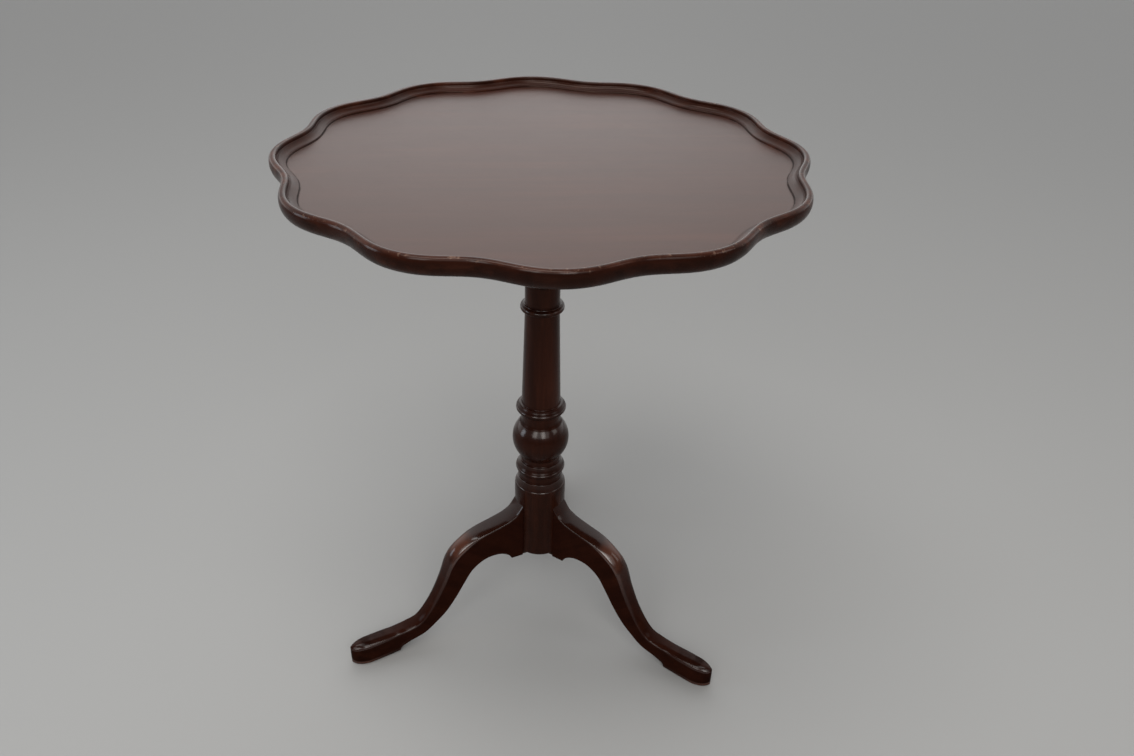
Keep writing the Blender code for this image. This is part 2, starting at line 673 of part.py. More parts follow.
def column_profile():
    """The turning, from the top of its tenon down its outer side to the foot of its drum."""
    tenon_top = HUNG_TOP - TENON_SHORT_OF_TOP
    shoulder = BLOCK_BOTTOM - SEAT_GAP
    cove_top = shoulder - CAPITAL_LIP
    cove_foot = shoulder - CAPITAL_HEIGHT
    capital_cove = arc(
        (CAPITAL_RADIUS, cove_foot), (CAPITAL_RADIUS - SHAFT_TOP_RADIUS, cove_top - cove_foot), 90, 180, 4
    )
    profile = [(0.0, tenon_top), (TENON_RADIUS, tenon_top), (TENON_RADIUS, shoulder)]
    profile += [(CAPITAL_RADIUS, shoulder)] + capital_cove
    for height in (UPPER_COLLAR_HEIGHT, LOWER_COLLAR_HEIGHT):
        profile += ring_top(COLLAR_RADIUS, height, COLLAR_RISE, COLLAR_NECK_RADIUS)
        profile += ring_foot(COLLAR_RADIUS, height, COLLAR_DROP, COLLAR_NECK_RADIUS)
    profile += ring_top(SHAFT_RING_RADIUS, SHAFT_RING_HEIGHT, SHAFT_RING_RISE, SHAFT_FOOT_RADIUS)
    profile += ring_foot(SHAFT_RING_RADIUS, SHAFT_RING_HEIGHT, SHAFT_RING_DROP, BALL_NECK_RADIUS)
    profile += necked_ball()
    profile += ring_top(DRUM_RING_RADIUS, DRUM_RING_HEIGHT, DRUM_RING_RISE, BALL_NECK_RADIUS)
    profile += ring_foot(DRUM_RING_RADIUS, DRUM_RING_HEIGHT, DRUM_RING_DROP, WAIST_RADIUS)
    profile += ring_top(DRUM_LIP_RADIUS, DRUM_LIP_HEIGHT, DRUM_LIP_RISE, WAIST_RADIUS)
    shoulder_sweep = (DRUM_RADIUS - DRUM_LIP_RADIUS, DRUM_LIP_HEIGHT - DRUM_SHOULDER_HEIGHT)
    profile += arc((DRUM_LIP_RADIUS, DRUM_SHOULDER_HEIGHT), shoulder_sweep, 50, 0, 1)
    profile += [(DRUM_RADIUS, DRUM_BOTTOM), (0.0, DRUM_BOTTOM)]
    return profile


def dovetail_outline(spare, root):
    """A dovetail seen from above, for a leg along +X: its neck lies on the column's flat."""
    inner = FLAT_DISTANCE - DOVETAIL_DEPTH - spare
    outer = FLAT_DISTANCE + root
    neck = DOVETAIL_NECK / 2 + spare
    wide = DOVETAIL_WIDTH / 2 + spare
    near_side = [(inner, -wide), (FLAT_DISTANCE, -neck), (outer, -neck)]
    return near_side + [(reach, -side) for reach, side in reversed(near_side)]


def make_column(wood):
    """The column with its leg flats and sockets, and the wedge in its tenon."""
    mesh = turned_mesh("column", column_profile(), COLUMN_SIDES)
    column = add_part("column", smooth(mesh), wood["column"])

    margin = DRUM_RADIUS
    flat_low = (FLAT_DISTANCE, -margin, DRUM_BOTTOM - margin)
    flat_high = (FLAT_DISTANCE + margin, margin, LEG_HEAD_HEIGHT + SEAT_GAP)
    flat = box_mesh("leg_flat", flat_low, flat_high)
    socket = prism_mesh("leg_socket", [dovetail_outline(SEAT_GAP, DOVETAIL_ROOT)],
                        DRUM_BOTTOM - margin, DOVETAIL_HEAD + SEAT_GAP)
    turns = [Matrix.Rotation(turn, 4, "Z") for turn in LEG_TURNS.values()]
    boolean(column, add_cutter("leg_flats", group_mesh("leg_flats", [(flat, turn) for turn in turns])))
    boolean(column, add_cutter("leg_sockets", group_mesh("leg_sockets", [(socket, turn) for turn in turns])))

    tenon_top = HUNG_TOP - TENON_SHORT_OF_TOP
    tip = tenon_top - WEDGE_DEPTH
    thick = WEDGE_THICK_END / 2
    thin = WEDGE_THIN_END / 2
    across = Matrix.Rotation(math.radians(90), 4, "Z") @ Matrix.Rotation(math.radians(90), 4, "X")
    wedge_side = [(-thick, tenon_top), (-thin, tip), (thin, tip), (thick, tenon_top)]
    reach = TENON_RADIUS - WEDGE_SHORT_OF_SIDE
    add_part("tenon_wedge", prism_mesh("tenon_wedge", [wedge_side], -reach, reach, across), wood["under"])
    slope = (thick - thin) / WEDGE_DEPTH
    above = WEDGE_DEPTH / 4
    slot_top = thick + slope * above + SEAT_GAP
    slot_tip = thin + SEAT_GAP
    slot_side = [
        (-slot_top, tenon_top + above),
        (-slot_tip, tip - SEAT_GAP),
        (slot_tip, tip - SEAT_GAP),
        (slot_top, tenon_top + above),
    ]
    slot = prism_mesh("wedge_slot", [slot_side], -TENON_RADIUS * 2, TENON_RADIUS * 2, across)
    boolean(column, add_cutter("wedge_slot", slot))


def spline(knots, steps):
    """A smooth run of points through the knots, each a tuple of numbers."""
    ends = [knots[0]] + list(knots) + [knots[-1]]
    points = []
    for i in range(1, len(ends) - 2):
        a, b, c, d = ends[i - 1:i + 3]
        for step in range(steps):
            t = step / steps
            weights = (-t + 2 * t**2 - t**3, 2 - 5 * t**2 + 3 * t**3, t + 4 * t**2 - 3 * t**3, t**3 - t**2)
            points.append(tuple(sum(w * v for w, v in zip(weights, row)) / 2 for row in zip(a, b, c, d)))
    points.append(tuple(knots[-1]))
    return points


def leg_ribs():
    """Cross-lines from the column to the toe: under reach and height, upper reach and height, half width."""
    half = LEG_THICKNESS / 2
    midway = (SHOULDER + BRACKET_REACH) / 2
    head = [
        (SHOULDER, BRACKET_HEIGHT, SHOULDER, LEG_HEAD_HEIGHT, half),
        (midway, BRACKET_HEIGHT, midway, LEG_HEAD_HEIGHT - LEG_HEAD_SWEEP, half),
    ]
    bracket = (BRACKET_REACH, BRACKET_HEIGHT, BRACKET_REACH, BRACKET_TOP, half)
    sweep = [(*under, *upper, thickness / 2) for under, upper, thickness in LEG_LINES]
    foot = (FOOT_REACH, 0.0, FOOT_REACH, FOOT_HEIGHT, FOOT_WIDTH / 2)
    ribs = head + spline([bracket] + sweep + [foot], 2)
    for angle in TOE_STATIONS:
        swing = math.radians(angle)
        reach = FOOT_REACH + (TOE_REACH - FOOT_REACH) * math.sin(swing)
        fall = TOE_ROUNDING * (1 - math.cos(swing))
        ribs.append((reach, 0.0, reach, FOOT_HEIGHT - fall, FOOT_WIDTH / 2 * math.cos(swing)))
    return ribs


def leg_section(rib):
    """One closed cross-section: flat sides, eased edges, a crowned upper face and, on the foot, a pad."""
    low = Vector((rib[0], 0.0, max(rib[1], 0.0)))
    high = Vector((rib[2], 0.0, rib[3]))
    half = rib[4]
    depth = (high - low).length
    rise = (high - low) / depth
    knee = math.exp(-(((high.x - KNEE_REACH) / KNEE_SPAN) ** 2))
    foot = min(1.0, max(0.0, (high.x - INSTEP_REACH) / (FOOT_REACH - INSTEP_REACH)))
    ease = min(LEG_EASE, half / 4)
    arris = min(HIP_ARRIS + (KNEE_ARRIS - HIP_ARRIS) * knee, half / 3)
    crown = min(HIP_CROWN + (KNEE_CROWN - HIP_CROWN) * knee + (FOOT_CROWN - HIP_CROWN) * foot, half / 3)
    upper = half - min(FOOT_LEAN * foot, half / 4)
    flank = depth - crown
    on_floor = low.z == 0.0
    inset = min(PAD_INSET, half / 4) if on_floor else 0.0
    if on_floor:
        side = [(half - inset, PAD_HEIGHT - inset / 2), (half, PAD_HEIGHT + inset / 2)]
    else:
        side = [(half, PAD_HEIGHT), (half, (PAD_HEIGHT + flank) / 2)]
    bow = arris * (1 - math.cos(math.radians(45)))
    right = [
        (half - inset - ease, 0.0),
        (half - inset, ease),
        *side,
        (upper, flank - arris),
        (upper - bow, flank - bow),
        (upper - arris, flank),
        (upper * CROWN_STATION, depth - crown * CROWN_FALL),
    ]
    left = [(-out, up) for out, up in reversed(right)]
    return [low + Vector((0.0, out, 0.0)) + rise * up for out, up in right + [(0.0, depth)] + left]


def make_legs(wood, steel):
    """The three legs, each with its dovetail tongue, and the iron plate that ties them."""
    arm_reach = BRACKET_REACH - PLATE_ARM_MARGIN
    screw_reach = arm_reach - PLATE_SCREW_MARGIN
    point_up = Matrix.Rotation(math.pi, 4, "X")
    screw_place = Matrix.Translation((screw_reach, 0, PLATE_TOP - PLATE_THICKNESS)) @ point_up
    turns = {name: Matrix.Rotation(turn, 4, "Z") for name, turn in LEG_TURNS.items()}
    places = [turn @ screw_place for turn in turns.values()]
    holes = add_screws("plate_screw", LARGE_GAUGE, PLATE_SCREW_LENGTH, PLATE_THICKNESS, places, steel)

    body = add_cutter("leg_body", loft_mesh("leg_body", [leg_section(rib) for rib in leg_ribs()]))
    tongue = prism_mesh("leg_tongue", [dovetail_outline(0.0, DOVETAIL_ROOT)], DRUM_BOTTOM, DOVETAIL_HEAD)
    boolean(body, add_cutter("leg_tongue", tongue), "UNION")
    pilot_room = screw_hole_profile(*LARGE_GAUGE, PLATE_SCREW_LENGTH, 0.0)
    pilot = turned_mesh("leg_pilot", pilot_room, SCREW_SIDES)
    pilot.transform(screw_place)
    boolean(body, add_cutter("leg_pilot", pilot))
    leg_mesh = smooth(evaluated_mesh(body), 40)
    bpy.data.objects.remove(body)
    for name, turn in LEG_TURNS.items():
        leg = add_part(name, leg_mesh.copy(), wood["leg"])
        leg.rotation_euler.z = turn

    half = PLATE_ARM_WIDTH / 2
    hub_angle = math.degrees(math.asin(half / PLATE_HUB_RADIUS))
    outline = []
    for turn in LEG_TURNS.values():
        heading = math.degrees(turn)
        way = Vector((math.cos(turn), math.sin(turn)))
        tip = way * (arm_reach - half)
        outline += arc(tip, (half, half), heading - 90, heading + 90, 6)
        hub_start = heading + hub_angle
        hub_end = heading + 120 - hub_angle
        outline += arc((0.0, 0.0), (PLATE_HUB_RADIUS, PLATE_HUB_RADIUS), hub_start, hub_end, 5)
    plate_mesh = prism_mesh("base_plate", [outline], PLATE_TOP - PLATE_THICKNESS, PLATE_TOP)
    plate = add_part("base_plate", plate_mesh, steel)
    boolean(plate, holes)


clear_scene()
PARTS = new_collection("wine_table")
CUTTERS = new_collection("wine_table_cutters")
WOOD = {
    "top": material("mahogany_top", (0.070, 0.020, 0.012), 0.22),
    "column": material("mahogany_column", (0.060, 0.017, 0.010), 0.28),
    "leg": material("mahogany_leg", (0.075, 0.020, 0.011), 0.28),
    "under": material("mahogany_under", (0.130, 0.058, 0.030), 0.60),
}
BRASS = material("brass", (0.560, 0.400, 0.160), 0.35, 1.0)
IRON = material("iron", (0.090, 0.085, 0.080), 0.55, 1.0)
TILT = add_pivot("top_tilt_axis", (0.0, PIVOT_Y, PIVOT_Z))
SLIDE = add_pivot("catch_slide_axis", (0.0, CASE_FRONT, BOLT_BOTTOM), TILT)
TOP = make_top(TILT, WOOD, IRON)
make_catch(TOP, TILT, SLIDE, BRASS)
make_block(WOOD, BRASS, IRON)
make_column(WOOD)
make_legs(WOOD, IRON)
bpy.context.view_layer.update()
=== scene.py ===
"""Wine table: the dressed look of a tilting piecrust tripod table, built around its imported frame.

Metres, +Z up. The column stands on the Z axis and the front is at -Y.
"""

import math
from collections import namedtuple

import bmesh
import bpy
from bpy.props import FloatProperty, FloatVectorProperty, IntProperty, PointerProperty
from mathutils import Matrix, Vector


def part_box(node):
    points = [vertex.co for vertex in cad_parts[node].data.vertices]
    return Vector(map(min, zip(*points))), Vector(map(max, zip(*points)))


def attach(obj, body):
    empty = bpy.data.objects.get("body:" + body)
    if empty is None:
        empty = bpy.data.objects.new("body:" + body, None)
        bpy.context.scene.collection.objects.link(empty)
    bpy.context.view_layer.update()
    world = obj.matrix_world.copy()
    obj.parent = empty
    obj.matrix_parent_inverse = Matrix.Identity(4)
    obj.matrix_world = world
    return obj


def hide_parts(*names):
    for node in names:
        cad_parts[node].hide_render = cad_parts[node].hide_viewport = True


bl_info = {
    "name": "Wine Table",
    "version": (1, 0, 0),
    "blender": (4, 5, 0),
    "location": "View3D > Sidebar > Wine Table",
    "description": "Turned, carved and polished pieces for a tilt-top tripod table",
    "category": "Object",
}

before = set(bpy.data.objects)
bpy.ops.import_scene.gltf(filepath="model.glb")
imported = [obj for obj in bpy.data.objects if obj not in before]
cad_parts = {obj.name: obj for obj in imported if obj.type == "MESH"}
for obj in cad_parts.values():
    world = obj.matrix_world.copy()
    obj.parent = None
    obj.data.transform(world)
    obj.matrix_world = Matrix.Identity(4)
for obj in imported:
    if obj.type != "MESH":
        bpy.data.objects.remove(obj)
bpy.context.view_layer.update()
TOP_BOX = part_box("table_top")
BLOCK_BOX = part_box("pivot_block")
COLUMN_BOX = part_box("column")

# Air between pieces that are set together
SEAT_GAP = 0.0003

# A tenth of a millimetre, the measure of the finest lines
HAIR = 0.0001

# How finely the pieces are cut, and how near points are merged
LOBE_STEPS = 32
TURNING_STEPS = 112
KNOB_STEPS = 40
SCREW_STEPS = 28
LEG_STEPS = 5
TOE_STEPS = 14
WELD = 0.000002

# Angles in degrees: edges that turn by more are shaded sharp
CREASE = 35
TOP_CREASE = 40
COLUMN_CREASE = 32
LEG_CREASE = 50

# Angles in degrees: edges of a CAD node that turn by less are dissolved, by more are rounded over
FLAT_ANGLE = 1
SHARP_ANGLE = 50

# The top's materials by their place in its list
RIM_SLOT, UNDERSIDE_SLOT, FIELD_SLOT, COVE_SLOT = range(4)

# A point of the rim's moulding; the inset is measured from the widest line
RimPoint = namedtuple("RimPoint", "inset height wear polish slot")

# Powers of the rim's curves from its widest line to the crest, and from there in to the quirk;
# 1 is an ellipse, less is squarer
CREST_SQUARENESS = 0.74
BEAD_SQUARENESS = 0.62

# Width of the ledge inside the quirk, and the easing of the step down to the field
LEDGE_WIDTH = 9 * HAIR
RIM_EASE = 4 * HAIR

# Turned rings: height of the part above the crest, share of it where the blunt edge starts,
# and height of the part below, which the drum's lip goes without
Ring = namedtuple("Ring", "rise edge drop")
COLLAR = Ring(rise=0.0070, edge=0.30, drop=0.0032)
SHAFT_RING = Ring(rise=0.0097, edge=0.14, drop=0.0040)
DRUM_RING = Ring(rise=0.0137, edge=0.02, drop=0.0050)
DRUM_LIP = Ring(rise=0.0136, edge=-0.04, drop=0.0)

# The neck and ledge of a ring, in shares of its reach and rise, with wear (below zero it is painted shade
# in the corner under the neck) and polish
RING_LEDGE = (
    (0.0, 1.25, 0.0, 0.0),
    (0.0, 1.0, -0.3, 0.0),
    (0.03, 0.92, -0.4, 0.0),
    (0.09, 0.87, 0.0, 0.6),
    (0.13, 0.862, 0.1, 1.0),
    (0.22, 0.858, 0.1, 1.0),
    (0.32, 0.852, 0.1, 1.0),
    (0.355, 0.835, 0.3, 1.0),
    (0.375, 0.80, 0.1, 0.7),
)

# The hollow under the ledge: points in shares of the ring's reach and of the hollow's own height,
# that height's share at the foot, and the hollow's top as a share of the ring's rise
RING_HOLLOW = ((0.39, 0.92), (0.48, 0.58), (0.62, 0.28))
HOLLOW_FOOT = 0.06
HOLLOW_TOP = 0.80

# The blunt edge at a ring's crest; the power of its curve is 1 for an ellipse and more if flatter
RING_EDGE_WIDTH = 0.0013
RING_EDGE_HEIGHT = 0.0018
RING_EDGE_BLUNTNESS = 1.5

# Radii of the hollows over and under the ball
BALL_BENDS = (0.008, 0.004)

# The capital: height of its edge, how far its sweep comes down; the rounding of its edge and the drum's
CAPITAL_EDGE = 0.006
CAPITAL_SWEEP = 0.040
TURNING_EASE = 0.001

# The drum's swelling head: drop from the lip to its foot, and its height
SWELL_DROP = 0.011
SWELL_RISE = 0.0105

# Cross-lines of a leg between bracket and foot: under edge, upper edge (reach, height), thickness
LEG_LINES = (
    ((0.0560, 0.1205), (0.0565, 0.1815), 0.0280),
    ((0.0700, 0.1270), (0.0740, 0.1765), 0.0280),
    ((0.0900, 0.1260), (0.1050, 0.1690), 0.0280),
    ((0.1090, 0.1140), (0.1290, 0.1565), 0.0280),
    ((0.1230, 0.0935), (0.1430, 0.1390), 0.0280),
    ((0.1360, 0.0695), (0.1535, 0.1100), 0.0250),
    ((0.1510, 0.0470), (0.1660, 0.0810), 0.0225),
    ((0.1680, 0.0310), (0.1795, 0.0565), 0.0220),
    ((0.1850, 0.0185), (0.1925, 0.0410), 0.0220),
    ((0.2060, 0.0125), (0.2080, 0.0358), 0.0228),
    ((0.2200, 0.0070), (0.2215, 0.0345), 0.0236),
    ((0.2260, 0.0000), (0.2300, 0.0336), 0.0250),
    ((0.2450, 0.0000), (0.2450, 0.0330), 0.0284),
)

# Where each leg points, in degrees from +X
LEG_HEADINGS = {"left": -157.66, "right": -37.66, "rear": 82.34}

# Slope of a leg's grain, in degrees
GRAIN_LEAN = 38

# How far the toe turns, in degrees, and how its cross-lines crowd towards the tip
TOE_TURN = 87.0
TOE_CROWDING = 1.5

# Points of half a leg's section, counted from the sole: those under the pad's groove, those on the arris
PAD_POINTS = 6
ARRIS_POINTS = range(10, 16)

# Polished woods: roughness, index of refraction, weight of the coat, what polished places add to it,
# the coat's own index, depth of colour, strength of figure, strength of the chips along worn edges
Look = namedtuple("Look", "haze gloss coat polish lacquer depth figure chips")
RIM_LOOK = Look(
    haze=0.18, gloss=1.18, coat=0.04, polish=0.58, lacquer=1.5, depth=0.95, figure=1.0, chips=0.9
)
COVE_LOOK = Look(
    haze=0.30, gloss=1.27, coat=0.15, polish=0.0, lacquer=1.5, depth=1.0, figure=0.6, chips=0.3
)
FIELD_LOOK = Look(
    haze=0.30, gloss=1.50, coat=0.14, polish=0.0, lacquer=1.5, depth=1.3, figure=0.45, chips=0.0
)
COLUMN_LOOK = Look(
    haze=0.20, gloss=1.18, coat=0.05, polish=0.95, lacquer=1.5, depth=0.95, figure=0.8, chips=0.3
)
LEG_LOOK = Look(
    haze=0.20, gloss=1.04, coat=0.01, polish=0.95, lacquer=1.95, depth=0.9, figure=0.45, chips=0.05
)

# Colour of the wood's own reflection, under the coat, and roughness of the coat against the wood's
SHEEN_TINT = (1.0, 0.72, 0.60, 1.0)
COAT_HAZE = 0.75

# Plain woods: index of refraction, and scales of the grain, which runs along the axis with the smallest
PLAIN_GLOSS = 1.45
UNDERSIDE_GRAIN = (6.0, 60.0, 60.0)
WEDGE_GRAIN = (60.0, 60.0, 6.0)
BLOCK_GRAIN = (7.0, 55.0, 55.0)
BEARER_GRAIN = (55.0, 7.0, 55.0)

# Rounding of the edges of wood and metal
WOOD_EASE = 0.0012
METAL_EASE = 4 * HAIR
CASE_EASE = 3 * HAIR
THIN_EASE = 2 * HAIR

# Fittings that keep the shape of their CAD node: piece, node, rounding, body, slot
FITTINGS = (
    ("bolt_case", "catch_case", CASE_EASE, "top", "brass"),
    ("sliding_bolt", "catch_bolt", METAL_EASE, "bolt", "brass"),
    ("keeper", "strike_plate", THIN_EASE, "pedestal", "brass"),
    ("tie_plate", "base_plate", METAL_EASE, "pedestal", "iron"),
    ("left_pin", "pivot_pin_left", METAL_EASE, "pedestal", "iron"),
    ("right_pin", "pivot_pin_right", METAL_EASE, "pedestal", "iron"),
)

# Air at each end of the wedge
WEDGE_GAP = 0.002

# Screws: radii of head and shank, rounding of the head, and the turn of the slots in degrees
Gauge = namedtuple("Gauge", "head shank")
LARGE_SCREW = Gauge(head=0.004, shank=0.002)
SMALL_SCREW = Gauge(head=0.003, shank=0.0014)
SCREW_DOME = 0.00015
SLOT_TURN = 37
NEXT_SLOT_TURN = 71

# Radii of the knob's stem and of the collar on it
KNOB_STEM = 0.0018
KNOB_COLLAR = 0.0029

# Lamps: direction from the ball, distance, width and height, power in watts, tint
Lamp = namedtuple("Lamp", "name way distance size power tint")
COOL = (0.80, 0.90, 1.0)
WARM = (1.0, 0.98, 0.95)
LAMPS = (
    Lamp("overhead", (-0.15, -0.20, 0.95), 2.6, (1.8, 1.0), 25.0, WARM),
    Lamp("left_window", (-0.97, -0.07, 0.23), 2.8, (0.8, 1.1), 8.0, COOL),
    Lamp("front_box", (0.05, -0.82, 0.57), 3.0, (3.2, 1.5), 11.0, WARM),
    Lamp("front_left_pane", (-0.42, -0.69, 0.57), 2.8, (0.8, 1.5), 8.6, WARM),
    Lamp("front_right_pane", (0.13, -0.80, 0.57), 2.8, (0.7, 1.5), 9.6, WARM),
    Lamp("right_window", (0.76, -0.28, 0.54), 2.8, (0.9, 1.3), 4.5, WARM),
)
LAMP_TARGET = Vector((0.0, 0.0, 0.31))

# The floor reaches this far each way, just under the feet
FLOOR_REACH = 20.0
FLOOR_DROP = 5 * HAIR
FLOOR_ROUGHNESS = 0.6

# Strength of the world as the camera sees it, and as it lights the table from in front and behind
WORLD_SEEN = 0.85
WORLD_FRONT = 0.12
WORLD_BEHIND = 1.05

# Where the light from behind sets in, from front to back, and how much of it is lost towards the sides
BEHIND_SPAN = (-0.25, 0.70)
SIDE_SPAN = (0.0025, 0.09)
SIDE_LOSS = 0.25

# Width of the camera's sensor in millimetres
SENSOR_WIDTH = 36.0


def length(label, text, default):
    """A length that the panel shows."""
    return FloatProperty(name=label, description=text, default=default, unit="LENGTH", precision=5)


def colour(label, text, default):
    """A colour that the panel shows."""
    return FloatVectorProperty(
        name=label, description=text, default=default, subtype="COLOR", size=3, min=0.0, max=1.0
    )


class TopSizes(bpy.types.PropertyGroup):
    """The dished top and its moulded rim."""

    lobes: IntProperty(name="Lobes", description="Lobes round the rim", default=12, min=3)
    radius: length("Radius", "Mean radius of the outline", 0.298)
    swell: length("Swell", "How far a lobe stands out", 0.0073)
    blunting: length("Blunting", "How far a lobe's crown is flattened", 0.00057)
    height: length("Height", "Height of the rim's crest", TOP_BOX[1].z)
    underside: length("Underside", "Height of the underside", TOP_BOX[0].z)
    widest_drop: length("Widest", "Drop from the crest to the widest line", 0.0077)
    undercut: length("Undercut", "How far the edge draws in below", 0.0111)
    crest_inset: length("Crest", "From the widest line in to the crest", 0.0045)
    quirk_inset: length("Quirk", "From the widest line in to the quirk", 0.0082)
    quirk_drop: length("Quirk drop", "Drop from the crest to the quirk", 0.0036)
    cove_inset: length("Cove", "From the widest line in to the foot of the cove", 0.0172)
    cove_drop: length("Cove drop", "Drop from the crest to the foot of the cove", 0.0092)
    field_inset: length("Field", "From the widest line in to the field", 0.0189)
    dish: length("Dish", "Drop from the crest to the field", 0.0110)


class ColumnSizes(bpy.types.PropertyGroup):
    """The turned column."""

    tenon: length("Tenon", "Radius of the tenon in the block", 0.016)
    capital: length("Capital", "Radius of the capital under the block", 0.031)
    shaft_head: length("Shaft head", "Radius at the head of the shaft", 0.0205)
    collar: length("Collar", "Radius of the two collars", 0.0277)
    upper_collar: length("Upper collar", "Height of the upper collar's crest", 0.5445)
    lower_collar: length("Lower collar", "Height of the lower collar's crest", 0.506)
    collar_neck: length("Collar neck", "Radius of the shaft at the collars", 0.0220)
    shaft_foot: length("Shaft foot", "Radius at the foot of the shaft", 0.0257)
    shaft_ring: length("Shaft ring", "Radius of the ring over the ball", 0.0332)
    shaft_ring_height: length("Shaft ring height", "Height of that ring's crest", 0.356)
    ball: length("Ball", "Radius of the ball", 0.0381)
    ball_height: length("Ball height", "Height of the ball's middle", 0.307)
    neck: length("Neck", "Radius of the necks over and under the ball", 0.0257)
    drum_ring: length("Drum ring", "Radius of the ring under the ball", 0.0336)
    drum_ring_height: length("Drum ring height", "Height of that ring's crest", 0.259)
    waist: length("Waist", "Radius of the waist above the drum", 0.0285)
    lip: length("Lip", "Radius of the drum's lip", 0.0346)
    lip_height: length("Lip height", "Height of the drum's lip", 0.2313)
    drum: length("Drum", "Radius of the drum that holds the legs", 0.0352)
    flat: length("Leg flat", "From the axis to the flats that the legs stand on", 0.0322)


class LegSizes(bpy.types.PropertyGroup):
    """The carved legs; reaches are distances from the column's axis."""

    head: length("Head", "Height of the leg against the drum", 0.203)
    head_sweep: length("Head sweep", "Drop of the upper edge near the drum", 0.0125)
    bracket: length("Bracket", "Height of the bracket under the leg", 0.1115)
    bracket_reach: length("Bracket reach", "Reach of the bracket", 0.0495)
    bracket_top: length("Bracket top", "Height of the upper edge over the bracket", 0.1845)
    thickness: length("Thickness", "Thickness of the upper leg", 0.028)
    foot: length("Foot", "Height of the foot", 0.0325)
    foot_width: length("Foot width", "Width of the foot", 0.031)
    foot_reach: length("Foot reach", "Reach of the widest part of the foot", 0.266)
    toe_reach: length("Toe reach", "Reach of the toe", 0.291)
    toe_rounding: length("Toe rounding", "Fall of the foot's top at the toe", 0.0055)
    pad: length("Pad", "Height of the pad under the foot", 0.006)
    pad_inset: length("Pad inset", "How far the pad is cut in", 0.0012)
    hip_crown: length("Hip crown", "Rise of the rounded upper face at the hip", 0.0015)
    knee_crown: length("Knee crown", "Rise of the rounded upper face at the knee", 0.0045)
    foot_crown: length("Foot crown", "Rise of the rounded upper face on the foot", 0.0025)
    hip_arris: length("Arris", "Radius of the edge between side and upper face", 0.0014)
    knee_arris: length("Knee arris", "Radius of that edge round the knee", 0.0055)
    foot_arris: length("Foot arris", "Radius of that edge on the foot", 0.0040)
    knee_reach: length("Knee reach", "Reach of the knee", 0.140)
    knee_span: length("Knee span", "How far the knee's rounding spreads", 0.035)
    rub_reach: length("Rub reach", "Reach of the rubbed place above the knee", 0.126)
    rub_span: length("Rub span", "How far the rubbed place spreads", 0.022)
    instep_reach: length("Instep", "Reach where the foot starts", 0.205)
    foot_lean: length("Foot lean", "How far the foot's sides lean in", 0.0036)
    ease: length("Ease", "Radius of the lower edges", 0.0014)


class Finishes(bpy.types.PropertyGroup):
    """Colours of the woods and metals."""

    deep: colour("Deep wood", "Darkest streaks of the polished wood", (0.018, 0.0050, 0.0030))
    body: colour("Polished wood", "Main colour of the polished wood", (0.044, 0.0115, 0.0060))
    warm: colour("Warm wood", "Lightest streaks of the polished wood", (0.074, 0.0205, 0.0100))
    # Besides real wear, this colour paints a pale reflection of the floor along the pads of the feet.
    worn: colour("Worn edge", "Wood where the polish is rubbed through", (0.150, 0.0480, 0.0250))
    plain: colour("Plain wood", "Unpolished wood under the top", (0.120, 0.0520, 0.0270))
    brass: colour("Brass", "Handled brass", (0.520, 0.340, 0.120))
    tarnish: colour("Tarnish", "Brass where it has dulled", (0.150, 0.090, 0.040))
    iron: colour("Iron", "Blackened iron", (0.060, 0.056, 0.052))
    rust: colour("Rust", "Rusted iron", (0.110, 0.045, 0.020))
    chip: colour("Chip", "Bare wood in a chipped edge", (0.30, 0.19, 0.14))
    # Painted shade as well as dirt: this dark colour is laid into hollows, creases, undersides, the lower
    # half of the ball, the drum and the leg sides.
    dirt_and_shade: colour("Soil", "Old polish and dirt in the hollows", (0.007, 0.0030, 0.0022))
    dirt: colour("Dirt", "Dirt on the unpolished wood", (0.030, 0.016, 0.010))


class StageSettings(bpy.types.PropertyGroup):
    """Floor, light and camera."""

    floor: colour("Floor", "Colour of the floor", (0.42, 0.42, 0.415))
    lens: FloatProperty(name="Lens", description="Focal length", default=30.102, unit="CAMERA")
    camera: FloatVectorProperty(
        name="Camera",
        description="Place of the camera",
        default=(-0.0636, -1.0368, 1.0733),
        subtype="XYZ",
    )
    yaw: FloatProperty(name="Yaw", description="Turn to the right", default=0.09339, subtype="ANGLE")
    pitch: FloatProperty(name="Pitch", description="Look down", default=0.57495, subtype="ANGLE")
    roll: FloatProperty(name="Roll", description="Lean of the camera", default=0.03133, subtype="ANGLE")


class WineTableSettings(bpy.types.PropertyGroup):
    """All that a user may change."""

    top: PointerProperty(type=TopSizes)
    column: PointerProperty(type=ColumnSizes)
    leg: PointerProperty(type=LegSizes)
    finish: PointerProperty(type=Finishes)
    stage: PointerProperty(type=StageSettings)


